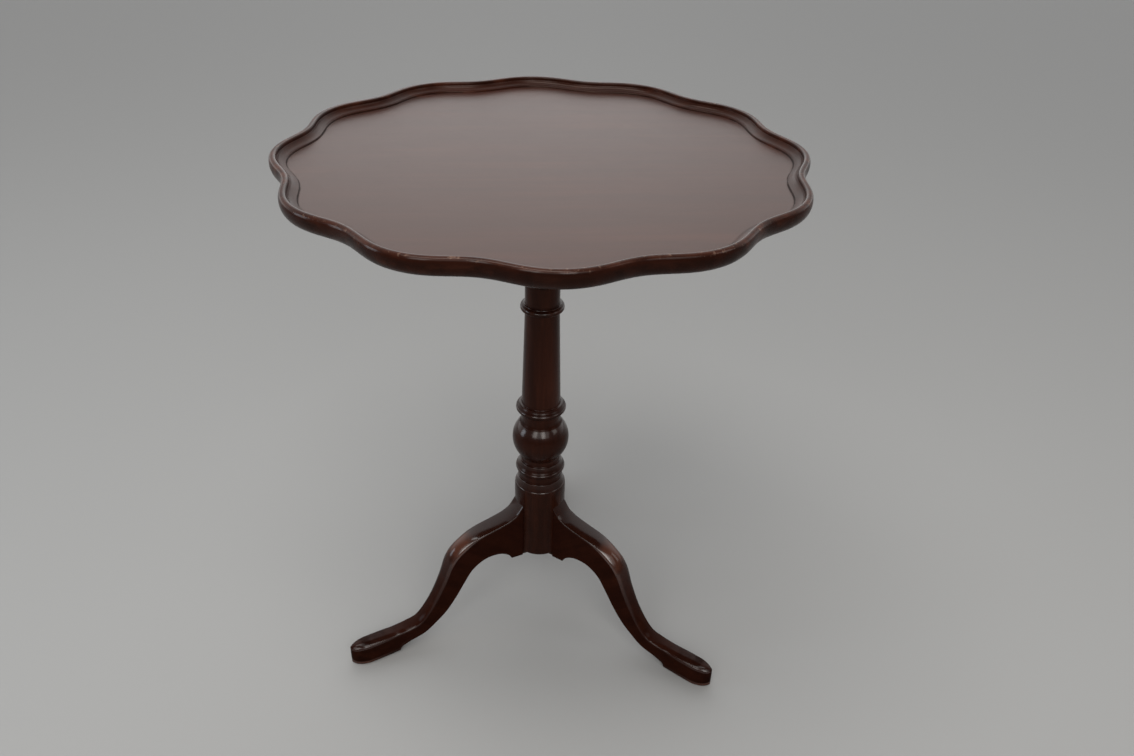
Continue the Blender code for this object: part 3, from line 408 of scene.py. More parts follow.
class Wire:
    """A shader socket that Python's arithmetic works on: each step adds a Math node."""

    def __init__(self, tree, socket=None):
        self.tree = tree
        self.socket = socket

    def node(self, kind, settings=None, inputs=None, output=0):
        """Add a node: its settings come first, then the values or links of its sockets."""
        made = self.tree.nodes.new(kind)
        for key, value in (settings or {}).items():
            setattr(made, key, value)
        for key, value in (inputs or {}).items():
            if isinstance(value, Wire):
                self.tree.links.new(value.socket, made.inputs[key])
            else:
                made.inputs[key].default_value = value
        return Wire(self.tree, made.outputs[output])

    def math(self, operation, first, second=0.0, clamp=False):
        """A Math node on two numbers."""
        settings = {"operation": operation, "use_clamp": clamp}
        return self.node("ShaderNodeMath", settings, {0: first, 1: second})

    def __add__(self, other):
        return self.math("ADD", self, other)

    def __radd__(self, other):
        return self.math("ADD", other, self)

    def __sub__(self, other):
        return self.math("SUBTRACT", self, other)

    def __rsub__(self, other):
        return self.math("SUBTRACT", other, self)

    def __mul__(self, other):
        return self.math("MULTIPLY", self, other)

    def __rmul__(self, other):
        return self.math("MULTIPLY", other, self)

    def clamped(self):
        """Held between 0 and 1."""
        return self.math("ADD", self, 0.0, clamp=True)

    def between(self, low, high):
        """A smooth step from 0 at low to 1 at high."""
        settings = {"interpolation_type": "SMOOTHSTEP"}
        return self.node("ShaderNodeMapRange", settings, {0: self, 1: low, 2: high, 3: 0.0, 4: 1.0})

    def stretched(self, scales):
        """This vector, scaled along each axis."""
        settings = {"operation": "MULTIPLY"}
        return self.node("ShaderNodeVectorMath", settings, {0: self, 1: scales})

    def noise(self, scale, detail=4.0, roughness=0.55, distortion=0.0):
        """Noise at this vector, about 0.5 on average."""
        inputs = {
            "Vector": self,
            "Scale": scale,
            "Detail": detail,
            "Roughness": roughness,
            "Distortion": distortion,
        }
        return self.node("ShaderNodeTexNoise", {}, inputs)

    def mixed(self, first, second):
        """One colour or another, by this number."""
        settings = {"data_type": "RGBA", "clamp_factor": True}
        return self.node("ShaderNodeMix", settings, {0: self, 6: first, 7: second}, 2)

    def bump(self, strength, distance):
        """A normal pushed by this height."""
        inputs = {"Strength": strength, "Distance": distance, "Height": self}
        return self.node("ShaderNodeBump", {}, inputs)


def opaque(shade):
    """A colour with full alpha."""
    return (shade[0], shade[1], shade[2], 1.0)


def new_material(name, constants):
    """A Principled material; constants are set on its own sockets."""
    made = bpy.data.materials.new(name)
    made.use_nodes = True
    shader = made.node_tree.nodes["Principled BSDF"]
    for key, value in constants.items():
        shader.inputs[key].default_value = value
    return made, Wire(made.node_tree), shader


def feed(wire, shader, links):
    """Link what changes over the surface to the shader."""
    for key, value in links.items():
        wire.tree.links.new(value.socket, shader.inputs[key])


def polished_wood(name, finish, look):
    """Dark polished wood: ribbon grain, pores, rubbed edges, painted shade in the hollows and a thin
    coat.
    """
    constants = {
        "IOR": look.gloss,
        "Specular Tint": SHEEN_TINT,
        "Coat Roughness": look.haze * COAT_HAZE,
        "Coat IOR": look.lacquer,
    }
    made, wire, shader = new_material(name, constants)
    shades = (finish.deep, finish.body, finish.warm)
    deep, body, warm = (opaque([value * look.depth for value in shade]) for shade in shades)
    place = wire.node("ShaderNodeAttribute", {"attribute_name": "grain"}, {}, "Vector")
    wear = wire.node("ShaderNodeAttribute", {"attribute_name": "wear"}, {}, "Fac")
    polish = wire.node("ShaderNodeAttribute", {"attribute_name": "polish"}, {}, "Fac")

    figure = place.stretched((5.0, 42.0, 42.0)).noise(1.0, 5.0, 0.6, 0.6)
    ribbon = place.stretched((2.2, 120.0, 120.0)).noise(1.0, 3.0, 0.5, 0.3)
    pores = place.stretched((70.0, 1500.0, 1500.0)).noise(1.0, 2.0, 0.5).between(0.60, 0.72)
    cloud = place.noise(7.0, 3.0, 0.5)
    streak = (figure * 0.62 + ribbon * 0.38).between(0.28, 0.72)
    streak = streak * look.figure + (0.5 - 0.5 * look.figure)
    tone = streak.mixed(deep, body)
    light = (streak * cloud).between(0.22, 0.60) * (0.70 * look.figure)
    tone = light.mixed(tone, warm)
    tone = (pores * 0.50).mixed(tone, deep)

    rub = place.noise(38.0, 5.0, 0.65)
    # Where the per-point value is above zero the wood takes the worn colour: real wear, and on the pads
    # of the feet a painted reflection of the floor.
    rubbed = (wear.clamped() * (rub * 1.5 + 0.15)).between(0.30, 0.95)
    tone = (rubbed * 0.70).mixed(tone, opaque(finish.worn))
    specks = place.noise(210.0, 3.0, 0.6).between(0.58, 0.65)
    clusters = place.noise(24.0, 2.0).between(0.42, 0.56)
    nicks = wear.clamped() * specks * clusters * look.chips
    tone = (nicks * 0.80).mixed(tone, opaque(finish.chip))
    # Painted shade with some dirt: where the per-point value is below zero, in hollows, creases,
    # undersides, the lower half of the ball, the drum and the leg sides, the wood is darkened in patches
    # towards the dark colour.
    dirt_and_shade_patches = place.noise(55.0, 4.0, 0.65).between(0.36, 0.64)
    dirt_and_shade = ((0.0 - wear).clamped() * (dirt_and_shade_patches * 1.3 + 0.35)).clamped()
    tone = (dirt_and_shade * 0.7).mixed(tone, opaque(finish.dirt_and_shade))

    smear = place.noise(16.0, 4.0, 0.6, 0.8)
    dull = look.haze + (smear - 0.5) * 0.06 + pores * 0.06
    dull = dull + nicks * 0.25 + rubbed * 0.04 + dirt_and_shade * 0.2
    coat = polish * look.polish + look.coat
    coat = (coat * (1.0 - dirt_and_shade - nicks * 0.7 + (smear - 0.5) * 0.6)).clamped()
    ripple = place.noise(60.0, 2.0)
    height = figure * 0.10 + ribbon * 0.05 - pores * 0.35 - nicks * 0.9 + ripple * 0.4
    normal = height.bump(0.22, 4 * HAIR)
    feed(wire, shader, {"Base Color": tone, "Roughness": dull, "Coat Weight": coat, "Normal": normal})
    return made


def plain_wood(name, finish, scales):
    """Unpolished wood under the top: open grain, tool marks and old dirt."""
    made, wire, shader = new_material(name, {"IOR": PLAIN_GLOSS})
    place = wire.node("ShaderNodeTexCoord", {}, {}, "Object")
    figure = place.stretched(scales).noise(1.0, 6.0, 0.62, 0.5)
    fine = place.stretched([value * 9.0 for value in scales]).noise(1.0, 3.0, 0.6)
    dirt = place.noise(14.0, 5.0, 0.65)
    streak = (figure * 0.7 + fine * 0.3).between(0.32, 0.68)
    dark = [value * 0.42 for value in finish.plain]
    tone = streak.mixed(opaque(dark), opaque(finish.plain))
    tone = (dirt.between(0.46, 0.74) * 0.55).mixed(tone, opaque(finish.dirt))
    marks = place.noise(90.0, 2.0)
    dull = 0.56 + (fine - 0.5) * 0.25 + dirt * 0.12
    height = figure * 0.4 + fine * 0.6 + marks * 0.3
    normal = height.bump(0.45, 5 * HAIR)
    feed(wire, shader, {"Base Color": tone, "Roughness": dull, "Normal": normal})
    return made


def worn_metal(name, bright, dull_shade, polish, spread):
    """Metal that is bright where it is handled and dull elsewhere."""
    made, wire, shader = new_material(name, {})
    place = wire.node("ShaderNodeTexCoord", {}, {}, "Object")
    patch = place.noise(70.0, 5.0, 0.62)
    fine = place.noise(900.0, 3.0, 0.6)
    stain = (patch * 0.75 + fine * 0.25).between(0.5 - spread, 0.5 + spread)
    tone = stain.mixed(opaque(bright), opaque(dull_shade))
    dull = polish + stain * 0.28 + (fine - 0.5) * 0.14
    gleam = 1.0 - stain * 0.35
    height = fine * 0.6 + patch * 0.4
    normal = height.bump(0.2, 2 * HAIR)
    feed(wire, shader, {"Base Color": tone, "Roughness": dull, "Metallic": gleam, "Normal": normal})
    return made


def arc(centre, radii, start, end, steps, power=1.0):
    """Points on an arc, in degrees, both ends included; a power under 1 fills an ellipse's corners."""
    points = []
    for step in range(steps + 1):
        angle = math.radians(start + (end - start) * step / steps)
        across, up = math.cos(angle), math.sin(angle)
        across = math.copysign(abs(across) ** power, across)
        up = math.copysign(abs(up) ** power, up)
        points.append((centre[0] + radii[0] * across, centre[1] + radii[1] * up))
    return points


def spline(knots, steps):
    """A smooth run of points through the knots, each a tuple of numbers."""
    ends = [knots[0]] + list(knots) + [knots[-1]]
    points = []
    for i in range(1, len(ends) - 2):
        a, b, c, d = ends[i - 1 : i + 3]
        for step in range(steps):
            t = step / steps
            weights = (
                -t + 2 * t**2 - t**3,
                2 - 5 * t**2 + 3 * t**3,
                t + 4 * t**2 - 3 * t**3,
                t**3 - t**2,
            )
            rows = zip(a, b, c, d)
            points.append(tuple(sum(w * v for w, v in zip(weights, row)) / 2 for row in rows))
    points.append(tuple(knots[-1]))
    return points


def lathe(work, profile, steps):
    """Spin points of radius, height, wear and polish about the Z axis; a value below zero for wear is
    painted shade.
    """
    worn = work.verts.layers.float.new("wear")
    shiny = work.verts.layers.float.new("polish")
    chain = []
    for radius, height, wear, polish in profile:
        vert = work.verts.new((radius, 0.0, height))
        vert[worn] = wear
        vert[shiny] = polish
        chain.append(vert)
    edges = [work.edges.new(pair) for pair in zip(chain, chain[1:])]
    bmesh.ops.spin(
        work,
        geom=chain + edges,
        cent=(0, 0, 0),
        axis=(0, 0, 1),
        dvec=(0, 0, 0),
        angle=2 * math.pi,
        steps=steps,
        use_merge=True,
    )
    bmesh.ops.remove_doubles(work, verts=work.verts, dist=WELD)
    bmesh.ops.recalc_face_normals(work, faces=work.faces)


def loft(work, rings, finish, slots=None):
    """Extrude a ring of points through all the rings and cap both ends.

    finish(ring, point) gives wear and polish, where wear below zero is painted shade; slots, if any,
    holds the material of each band of faces.
    """
    order = work.verts.layers.int.new("order")
    worn = work.verts.layers.float.new("wear")
    shiny = work.verts.layers.float.new("polish")
    first = []
    for index, point in enumerate(rings[0]):
        vert = work.verts.new(point)
        vert[order] = index
        vert[worn], vert[shiny] = finish(0, index)
        first.append(vert)
    edges = [work.edges.new(pair) for pair in zip(first, first[1:] + first[:1])]
    caps = [list(edges)]
    for number, ring in enumerate(rings[1:], 1):
        made = bmesh.ops.extrude_edge_only(work, edges=edges)["geom"]
        moved = {part for part in made if isinstance(part, bmesh.types.BMVert)}
        for vert in moved:
            vert.co = ring[vert[order]]
            vert[worn], vert[shiny] = finish(number, vert[order])
        for part in made:
            if slots and isinstance(part, bmesh.types.BMFace):
                part.material_index = slots[number]
        edges = [
            part
            for part in made
            if isinstance(part, bmesh.types.BMEdge) and part.verts[0] in moved and part.verts[1] in moved
        ]
    caps.append(list(edges))
    ends = []
    for cap in caps:
        ends += bmesh.ops.edgeloop_fill(work, edges=cap)["faces"]
    bmesh.ops.recalc_face_normals(work, faces=work.faces)
    return ends


def as_mesh(work, name):
    """A bmesh as a new mesh."""
    mesh = bpy.data.meshes.new(name)
    work.to_mesh(mesh)
    work.free()
    return mesh


def carved(mesh, cutters):
    """A mesh with other solids cut out of it."""
    blank = bpy.data.objects.new(mesh.name, mesh)
    bpy.context.scene.collection.objects.link(blank)
    tools = []
    for cutter in cutters:
        tool = bpy.data.objects.new("cutter", cutter)
        bpy.context.scene.collection.objects.link(tool)
        step = blank.modifiers.new("Cut", "BOOLEAN")
        step.operation = "DIFFERENCE"
        step.solver = "EXACT"
        step.object = tool
        tools.append(tool)
    bpy.context.view_layer.update()
    graph = bpy.context.evaluated_depsgraph_get()
    made = bpy.data.meshes.new_from_object(blank.evaluated_get(graph))
    for item in [blank] + tools:
        bpy.data.objects.remove(item)
    made.name = mesh.name
    return made


def box_mesh(low, high, placing=Matrix()):
    """A box between two corners, then placed."""
    work = bmesh.new()
    bmesh.ops.create_cube(work, size=1.0)
    bmesh.ops.scale(work, vec=Vector(high) - Vector(low), verts=work.verts)
    bmesh.ops.translate(work, vec=(Vector(high) + Vector(low)) / 2, verts=work.verts)
    bmesh.ops.transform(work, matrix=placing, verts=work.verts)
    return as_mesh(work, "box")


def add_piece(name, mesh, body, nodes, materials, smooth=CREASE, grain=None):
    """Put a finished mesh in the scene as a piece that rides a body and stands for CAD nodes."""
    mesh.name = name
    if grain is not None:
        along = mesh.attributes.new("grain", "FLOAT_VECTOR", "POINT")
        for vert, item in zip(mesh.vertices, along.data):
            item.vector = grain @ vert.co
    mesh.shade_smooth()
    mesh.set_sharp_from_angle(angle=math.radians(smooth))
    for material in materials:
        mesh.materials.append(material)
    piece = bpy.data.objects.new(name, mesh)
    bpy.context.scene.collection.objects.link(piece)
    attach(piece, body)
    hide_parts(*nodes)
    return piece


def eased_copy(node, ease, segments=2):
    """A copy of a CAD node with its sharp edges rounded over."""
    work = bmesh.new()
    work.from_mesh(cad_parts[node].data)
    bmesh.ops.remove_doubles(work, verts=work.verts, dist=WELD)
    flat = math.radians(FLAT_ANGLE)
    bmesh.ops.dissolve_limit(work, angle_limit=flat, verts=work.verts, edges=work.edges)
    sharp = [edge for edge in work.edges if edge.calc_face_angle(0.0) > math.radians(SHARP_ANGLE)]
    bmesh.ops.bevel(
        work,
        geom=sharp,
        offset=ease,
        offset_type="OFFSET",
        affect="EDGES",
        segments=segments,
        profile=0.5,
        material=-1,
        clamp_overlap=True,
    )
    return as_mesh(work, node)


def rim_section(sizes):
    """The rim's moulding from the underside, round the crest and down the cove to the field."""
    widest = sizes.height - sizes.widest_drop
    quirk = sizes.height - sizes.quirk_drop
    cove_foot = sizes.height - sizes.cove_drop
    field = sizes.height - sizes.dish
    crest = sizes.crest_inset
    ledge = sizes.quirk_inset + LEDGE_WIDTH
    step = sizes.cove_inset + (sizes.field_inset - sizes.cove_inset) / 2
    bead_size = (sizes.quirk_inset - crest, sizes.quirk_drop)
    cove_size = (sizes.cove_inset - ledge, quirk - cove_foot)
    ovolo = arc((sizes.undercut, widest), (sizes.undercut, widest - sizes.underside), 268, 180, 14)
    shoulder = arc((crest, widest), (crest, sizes.widest_drop), 180, 90, 10, CREST_SQUARENESS)
    bead = arc((crest, quirk), bead_size, 90, 0, 8, BEAD_SQUARENESS)
    cove = arc((sizes.cove_inset, quirk), cove_size, 184, 270, 10)

    # Painted shade: the ovolo under the rim, the lower part of the shoulder, the inner fall of the bead,
    # the quirk and the cove are given values below zero and so darkened; the crest above takes real wear.
    section = [RimPoint(*point, -0.45, 0.0, RIM_SLOT) for point in ovolo[:-1]]
    for i, point in enumerate(shoulder):
        rubbed = min(0.52, 0.2 * i - 0.5)
        shine = max(0.0, 1.0 - 0.35 * abs(i - 5.5))
        section.append(RimPoint(*point, rubbed, shine, RIM_SLOT))
    for i, point in enumerate(bead[1:], 1):
        rubbed = max(-0.2, 0.65 - 0.15 * i)
        shine = max(0.0, 1.0 - 0.3 * abs(i - 2))
        section.append(RimPoint(*point, rubbed, shine, RIM_SLOT))
    section += [
        RimPoint(sizes.quirk_inset + HAIR, quirk - 4 * HAIR, -0.7, 0.0, RIM_SLOT),
        RimPoint(ledge - 2 * HAIR, quirk - 3 * HAIR, 0.1, 0.0, COVE_SLOT),
        RimPoint(ledge, quirk - 6 * HAIR, 0.3, 0.0, COVE_SLOT),
    ]
    section += [RimPoint(*point, -0.05, 0.0, COVE_SLOT) for point in cove[1:-1]]
    section += [
        RimPoint(sizes.cove_inset, cove_foot, 0.0, 0.0, COVE_SLOT),
        RimPoint(step - RIM_EASE, cove_foot, 0.0, 0.0, COVE_SLOT),
        # Painted shadow: a dark line where the step falls to the field.
        RimPoint(step, cove_foot - RIM_EASE, -0.6, 0.0, COVE_SLOT),
        RimPoint(sizes.field_inset - RIM_EASE, field + RIM_EASE, -1.0, 0.0, RIM_SLOT),
        RimPoint(sizes.field_inset, field, -1.0, 0.0, RIM_SLOT),
        RimPoint(sizes.field_inset + 3 * RIM_EASE, field, 0.0, 0.0, FIELD_SLOT),
    ]
    return section


def lobed_ring(sizes, inset, height):
    """The top's outline, moved in by the inset along its own normal."""
    points = []
    count = sizes.lobes * LOBE_STEPS
    for i in range(count):
        turn = 2 * math.pi * i / count
        swing = sizes.lobes * (turn + math.pi / 2)
        radius = sizes.radius + sizes.swell * math.cos(swing) - sizes.blunting * math.cos(2 * swing)
        slope = sizes.lobes * (2 * sizes.blunting * math.sin(2 * swing) - sizes.swell * math.sin(swing))
        outward = Vector((math.cos(turn), math.sin(turn), 0.0))
        sideways = Vector((-math.sin(turn), math.cos(turn), 0.0))
        tangent = (outward * slope + sideways * radius).normalized()
        place = outward * radius + Vector((-tangent.y, tangent.x, 0.0)) * inset
        points.append(place + Vector((0.0, 0.0, height)))
    return points


class WINETABLE_OT_add_top(bpy.types.Operator):
    """Make the dished top with its moulded rim"""

    bl_idname = "wine_table.add_top"
    bl_label = "Top"

    def execute(self, context):
        settings = context.scene.wine_table
        section = rim_section(settings.top)
        rings = [lobed_ring(settings.top, point.inset, point.height) for point in section]
        slots = [point.slot for point in section]

        def finish(ring, _):
            return section[ring].wear, section[ring].polish

        work = bmesh.new()
        underside, field = loft(work, rings, finish, slots)
        underside.material_index = UNDERSIDE_SLOT
        field.material_index = FIELD_SLOT
        materials = [
            polished_wood("polished_rim", settings.finish, RIM_LOOK),
            plain_wood("bare_underside", settings.finish, UNDERSIDE_GRAIN),
            polished_wood("polished_field", settings.finish, FIELD_LOOK),
            polished_wood("polished_cove", settings.finish, COVE_LOOK),
        ]
        mesh = as_mesh(work, "top_board")
        nodes = ["table_top"]
        add_piece("top_board", mesh, "top", nodes, materials, TOP_CREASE, Matrix())
        return {"FINISHED"}


def ring_top(ring, crest, height, above):
    """The upper part of a turned ring: neck, flat ledge, hollow, quirk and a blunt edge at the crest."""
    reach = crest - above
    wide = RING_EDGE_WIDTH / reach
    tall = RING_EDGE_HEIGHT / ring.rise
    quirk = ring.edge + tall
    low = quirk + 0.02
    rows = list(RING_LEDGE)
    # Painted shade: the hollow and the quirk are darkened with values below zero.
    for out, up in spline(RING_HOLLOW + ((0.95 - wide, HOLLOW_FOOT),), 4):
        rows.append((out, low + (HOLLOW_TOP - low) * up, -0.25, 0.42))
    rows.append((0.985 - wide, quirk - 0.02, -0.9, 0.0))
    edge = arc((1 - wide, ring.edge), (wide, tall), 90, 0, 9, RING_EDGE_BLUNTNESS)
    for i, (out, up) in enumerate(edge):
        rows.append((out, up, 0.35 - 0.1 * abs(i - 4), 1.0 if i < 8 else 0.3))
    return [(above + out * reach, height + up * ring.rise, *finish) for out, up, *finish in rows]


def ring_foot(ring, crest, height, below):
    """The lower part of a turned ring: the bead rolls under to a fillet on the next neck."""
    reach = crest - below
    drop = ring.drop
    bead = arc((below + 0.60 * reach, height), (0.40 * reach, 0.85 * drop), 0, -84, 8)
    fillet = below + 0.42 * reach
    # Painted shade: the underside of the bead and the fillet below it are darkened with values below
    # zero.
    points = [(radius, z, -0.6, 0.0) for radius, z in bead]
    points += [
        (fillet + 2 * HAIR, height - 0.88 * drop, -0.9, 0.0),
        (fillet, height - 0.92 * drop, -0.6, 0.0),
        (fillet - 2 * HAIR, height - drop, -0.5, 0.0),
        (below, height - drop, -0.8, 0.0),
        (below, height - 1.5 * drop, 0.0, 0.0),
    ]
    return points


def turned_ring(ring, crest, height, above, below):
    """A whole ring between the neck above it and the neck below."""
    return ring_top(ring, crest, height, above) + ring_foot(ring, crest, height, below)


def necked_ball(radius, height, neck, bends):
    """A ball that sweeps into a neck above and below; bends are the radii of the two hollows."""
    ends = []
    for bend in bends:
        rise = math.sqrt((radius + bend) ** 2 - (neck + bend) ** 2)
        ends.append((neck + bend, rise, math.degrees(math.atan2(rise, neck + bend))))
    (upper_out, upper_rise, upper_angle), (lower_out, lower_rise, lower_angle) = ends
    upper = arc((upper_out, height + upper_rise), (bends[0], bends[0]), 180, 180 + upper_angle, 6)
    ball = arc((0.0, height), (radius, radius), upper_angle, -lower_angle, 34)[1:]
    lower = arc((lower_out, height - lower_rise), (bends[1], bends[1]), 180 - lower_angle, 180, 5)[1:]
    # Painted shade: the hollows over and under the ball and its lower half are darkened, more towards the
    # bottom.
    points = [(out, z, -0.4, 0.0) for out, z in upper]
    for out, z in ball:
        slope = (z - height) / radius
        dirt_and_shade = min(0.50, max(0.0, -1.5 * slope))
        points.append((out, z, -dirt_and_shade, min(1.0, max(0.0, 4 * slope - 1.2))))
    return points + [(out, z, -0.50, 0.0) for out, z in lower]


def column_profile(sizes):
    """The turning from its tenon down to the foot of its drum: radius, height, wear (below zero, painted
    shade), polish.
    """
    tenon_top = COLUMN_BOX[1].z
    foot = COLUMN_BOX[0].z
    shoulder = BLOCK_BOX[0].z - SEAT_GAP
    edge = shoulder - CAPITAL_EDGE
    sweep_foot = shoulder - CAPITAL_SWEEP
    sweep_head = sizes.capital - 2 * TURNING_EASE
    head = [
        (0.0, tenon_top),
        (sizes.tenon, tenon_top),
        (sizes.tenon, shoulder),
        (sizes.capital - TURNING_EASE, shoulder),
        (sizes.capital, shoulder - TURNING_EASE),
        (sizes.capital, edge + TURNING_EASE),
        (sizes.capital - TURNING_EASE, edge),
    ]
    head += arc((sweep_head, sweep_foot), (sweep_head - sizes.shaft_head, edge - sweep_foot), 90, 180, 14)
    profile = [(radius, z, 0.0, 0.0) for radius, z in head]
    for height in (sizes.upper_collar, sizes.lower_collar):
        profile += turned_ring(COLLAR, sizes.collar, height, sizes.collar_neck, sizes.collar_neck)
    height = sizes.shaft_ring_height
    profile += turned_ring(SHAFT_RING, sizes.shaft_ring, height, sizes.shaft_foot, sizes.neck)
    profile += necked_ball(sizes.ball, sizes.ball_height, sizes.neck, BALL_BENDS)
    height = sizes.drum_ring_height
    profile += turned_ring(DRUM_RING, sizes.drum_ring, height, sizes.neck, sizes.waist)
    profile += ring_top(DRUM_LIP, sizes.lip, sizes.lip_height, sizes.waist)
    swell_size = (sizes.drum - sizes.lip, SWELL_RISE)
    swell = arc((sizes.lip, sizes.lip_height - SWELL_DROP), swell_size, 84, 0, 8)
    # Painted shade: the drum's swell and side are darkened.
    profile += [(radius, z, -0.3, 0.0) for radius, z in swell]
    profile += [
        (sizes.drum, foot + TURNING_EASE, -0.3, 0.0),
        (sizes.drum - TURNING_EASE, foot, 0.0, 0.0),
        (0.0, foot, 0.0, 0.0),
    ]
    return profile


class WINETABLE_OT_add_column(bpy.types.Operator):
    """Turn the column, cut the flats for the legs and drive the wedge"""

    bl_idname = "wine_table.add_column"
    bl_label = "Column"

    def execute(self, context):
        settings = context.scene.wine_table
        sizes = settings.column
        work = bmesh.new()
        lathe(work, column_profile(sizes), TURNING_STEPS)
        reach = sizes.drum * 2
        low = (sizes.flat, -reach, COLUMN_BOX[0].z - reach)
        high = (sizes.flat + reach, reach, settings.leg.head + SEAT_GAP)
        cutters = [
            box_mesh(low, high, Matrix.Rotation(math.radians(heading), 4, "Z"))
            for heading in LEG_HEADINGS.values()
        ]
        wedge_low, wedge_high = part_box("tenon_wedge")
        gap = Vector((WEDGE_GAP, SEAT_GAP, SEAT_GAP))
        cutters.append(box_mesh(wedge_low - gap, wedge_high + gap))
        mesh = carved(as_mesh(work, "turned_column"), cutters)
        upright = Matrix(((0, 0, 1), (1, 0, 0), (0, 1, 0)))
        wood = polished_wood("polished_column", settings.finish, COLUMN_LOOK)
        nodes = ["column"]
        add_piece("turned_column", mesh, "pedestal", nodes, [wood], COLUMN_CREASE, upright)

        plain = plain_wood("wedge_wood", settings.finish, WEDGE_GRAIN)
        wedge = eased_copy("tenon_wedge", THIN_EASE, 1)
        add_piece("driven_wedge", wedge, "pedestal", ["tenon_wedge"], [plain])
        return {"FINISHED"}


def leg_ribs(sizes, shoulder):
    """Cross-lines from the shoulder to the toe: under and upper reach and height, half width."""
    half = sizes.thickness / 2
    midway = (shoulder + sizes.bracket_reach) / 2
    head = [
        (shoulder, sizes.bracket, shoulder, sizes.head, half),
        (midway, sizes.bracket, midway, sizes.head - sizes.head_sweep, half),
        (sizes.bracket_reach, sizes.bracket, sizes.bracket_reach, sizes.bracket_top, half),
    ]
    sweep = [(*under, *upper, thick / 2) for under, upper, thick in LEG_LINES]
    foot = (sizes.foot_reach, 0.0, sizes.foot_reach, sizes.foot, sizes.foot_width / 2)
    ribs = spline(head, LEG_STEPS)[:-1] + spline([head[-1]] + sweep + [foot], LEG_STEPS)
    for step in range(1, TOE_STEPS + 1):
        swing = math.radians(TOE_TURN * (1 - (1 - step / TOE_STEPS) ** TOE_CROWDING))
        reach = sizes.foot_reach + (sizes.toe_reach - sizes.foot_reach) * math.sin(swing)
        fall = sizes.toe_rounding * (1 - math.cos(swing))
        ribs.append((reach, 0.0, reach, sizes.foot - fall, sizes.foot_width / 2 * math.cos(swing)))
    return ribs


def leg_section(sizes, rib):
    """One closed section: flat sides, rounded edges, a crowned upper face and, on the foot, a pad."""
    low = Vector((rib[0], 0.0, max(rib[1], 0.0)))
    high = Vector((rib[2], 0.0, rib[3]))
    half = rib[4]
    depth = (high - low).length
    rise = (high - low) / depth
    knee = math.exp(-(((high.x - sizes.knee_reach) / sizes.knee_span) ** 2))
    foot = (high.x - sizes.instep_reach) / (sizes.foot_reach - sizes.instep_reach)
    foot = min(1.0, max(0.0, foot))
    ease = min(sizes.ease, half / 4)
    arris = sizes.hip_arris + (sizes.knee_arris - sizes.hip_arris) * knee
    arris = min(arris + (sizes.foot_arris - sizes.hip_arris) * foot, half / 3)
    crown = sizes.hip_crown + (sizes.knee_crown - sizes.hip_crown) * knee
    crown = min(crown + (sizes.foot_crown - sizes.hip_crown) * foot, half / 3)
    upper = half - min(sizes.foot_lean * foot, half / 4)
    flank = depth - crown
    cut = min(sizes.pad_inset, half / 4) if low.z == 0.0 else 0.0
    edge = half - cut
    right = arc((edge - ease, ease), (ease, ease), -90, 0, 3)
    right += [
        (edge, sizes.pad - 8 * HAIR),
        (edge + cut * 0.15, sizes.pad - 2 * HAIR),
        (half - cut * 0.1, sizes.pad + 4 * HAIR),
        (half, sizes.pad + 12 * HAIR),
        ((half + upper) / 2, (sizes.pad + flank - arris) * 0.5),
        (upper, flank - arris - sizes.hip_arris / 2),
    ]
    right += arc((upper - arris, flank - arris), (arris, arris), 0, 62, 5)
    start_out, start_up = right[-1]
    for step in range(1, 6):
        share = step / 6
        right.append((start_out * (1 - share), start_up + (depth - start_up) * (1 - (1 - share) ** 2)))
    left = [(-out, up) for out, up in reversed(right)]
    return [low + Vector((0.0, out, 0.0)) + rise * up for out, up in right + [(0.0, depth)] + left]


def leg_finish(sizes, rings):
    """Wear and polish for a leg's loft: dull sides darkened with painted shade, bright arrises, a
    polished hip, a rubbed knee, a foot darker on its upper face and a pad lightened by scuffing and by a
    painted reflection of the floor.
    """
    last = len(rings[0]) - 1
    foot_length = sizes.foot_reach - sizes.instep_reach

    def finish(ring, point):
        inward = min(point, last - point)
        reach = rings[ring][last // 2].x
        hip = min(1.0, max(0.0, (sizes.knee_reach - reach) / sizes.knee_span))
        knee = math.exp(-(((reach - sizes.rub_reach) / sizes.rub_span) ** 2))
        toe = min(1.0, max(0.0, (reach - sizes.instep_reach) / foot_length))
        if inward in ARRIS_POINTS:
            shine = 0.20 + 0.20 * hip + 0.65 * knee + 0.18 * toe
            return 0.30 + 0.55 * knee - 0.20 * toe, min(1.0, shine)
        if inward > ARRIS_POINTS[-1]:
            shine = 0.04 + 0.30 * hip + 0.35 * knee + 0.16 * toe
            # The upper face: rubbed at the knee, darker towards the foot.
            return knee - 0.50 * toe, min(1.0, shine)
        if inward < PAD_POINTS:
            # The pad: the worn colour for scuffing, and a painted reflection of the floor along its edge.
            return 0.65 * toe, 0.3 * toe
        # The flat sides: painted shade.
        return -0.25 - 0.25 * toe, 0.0

    return finish


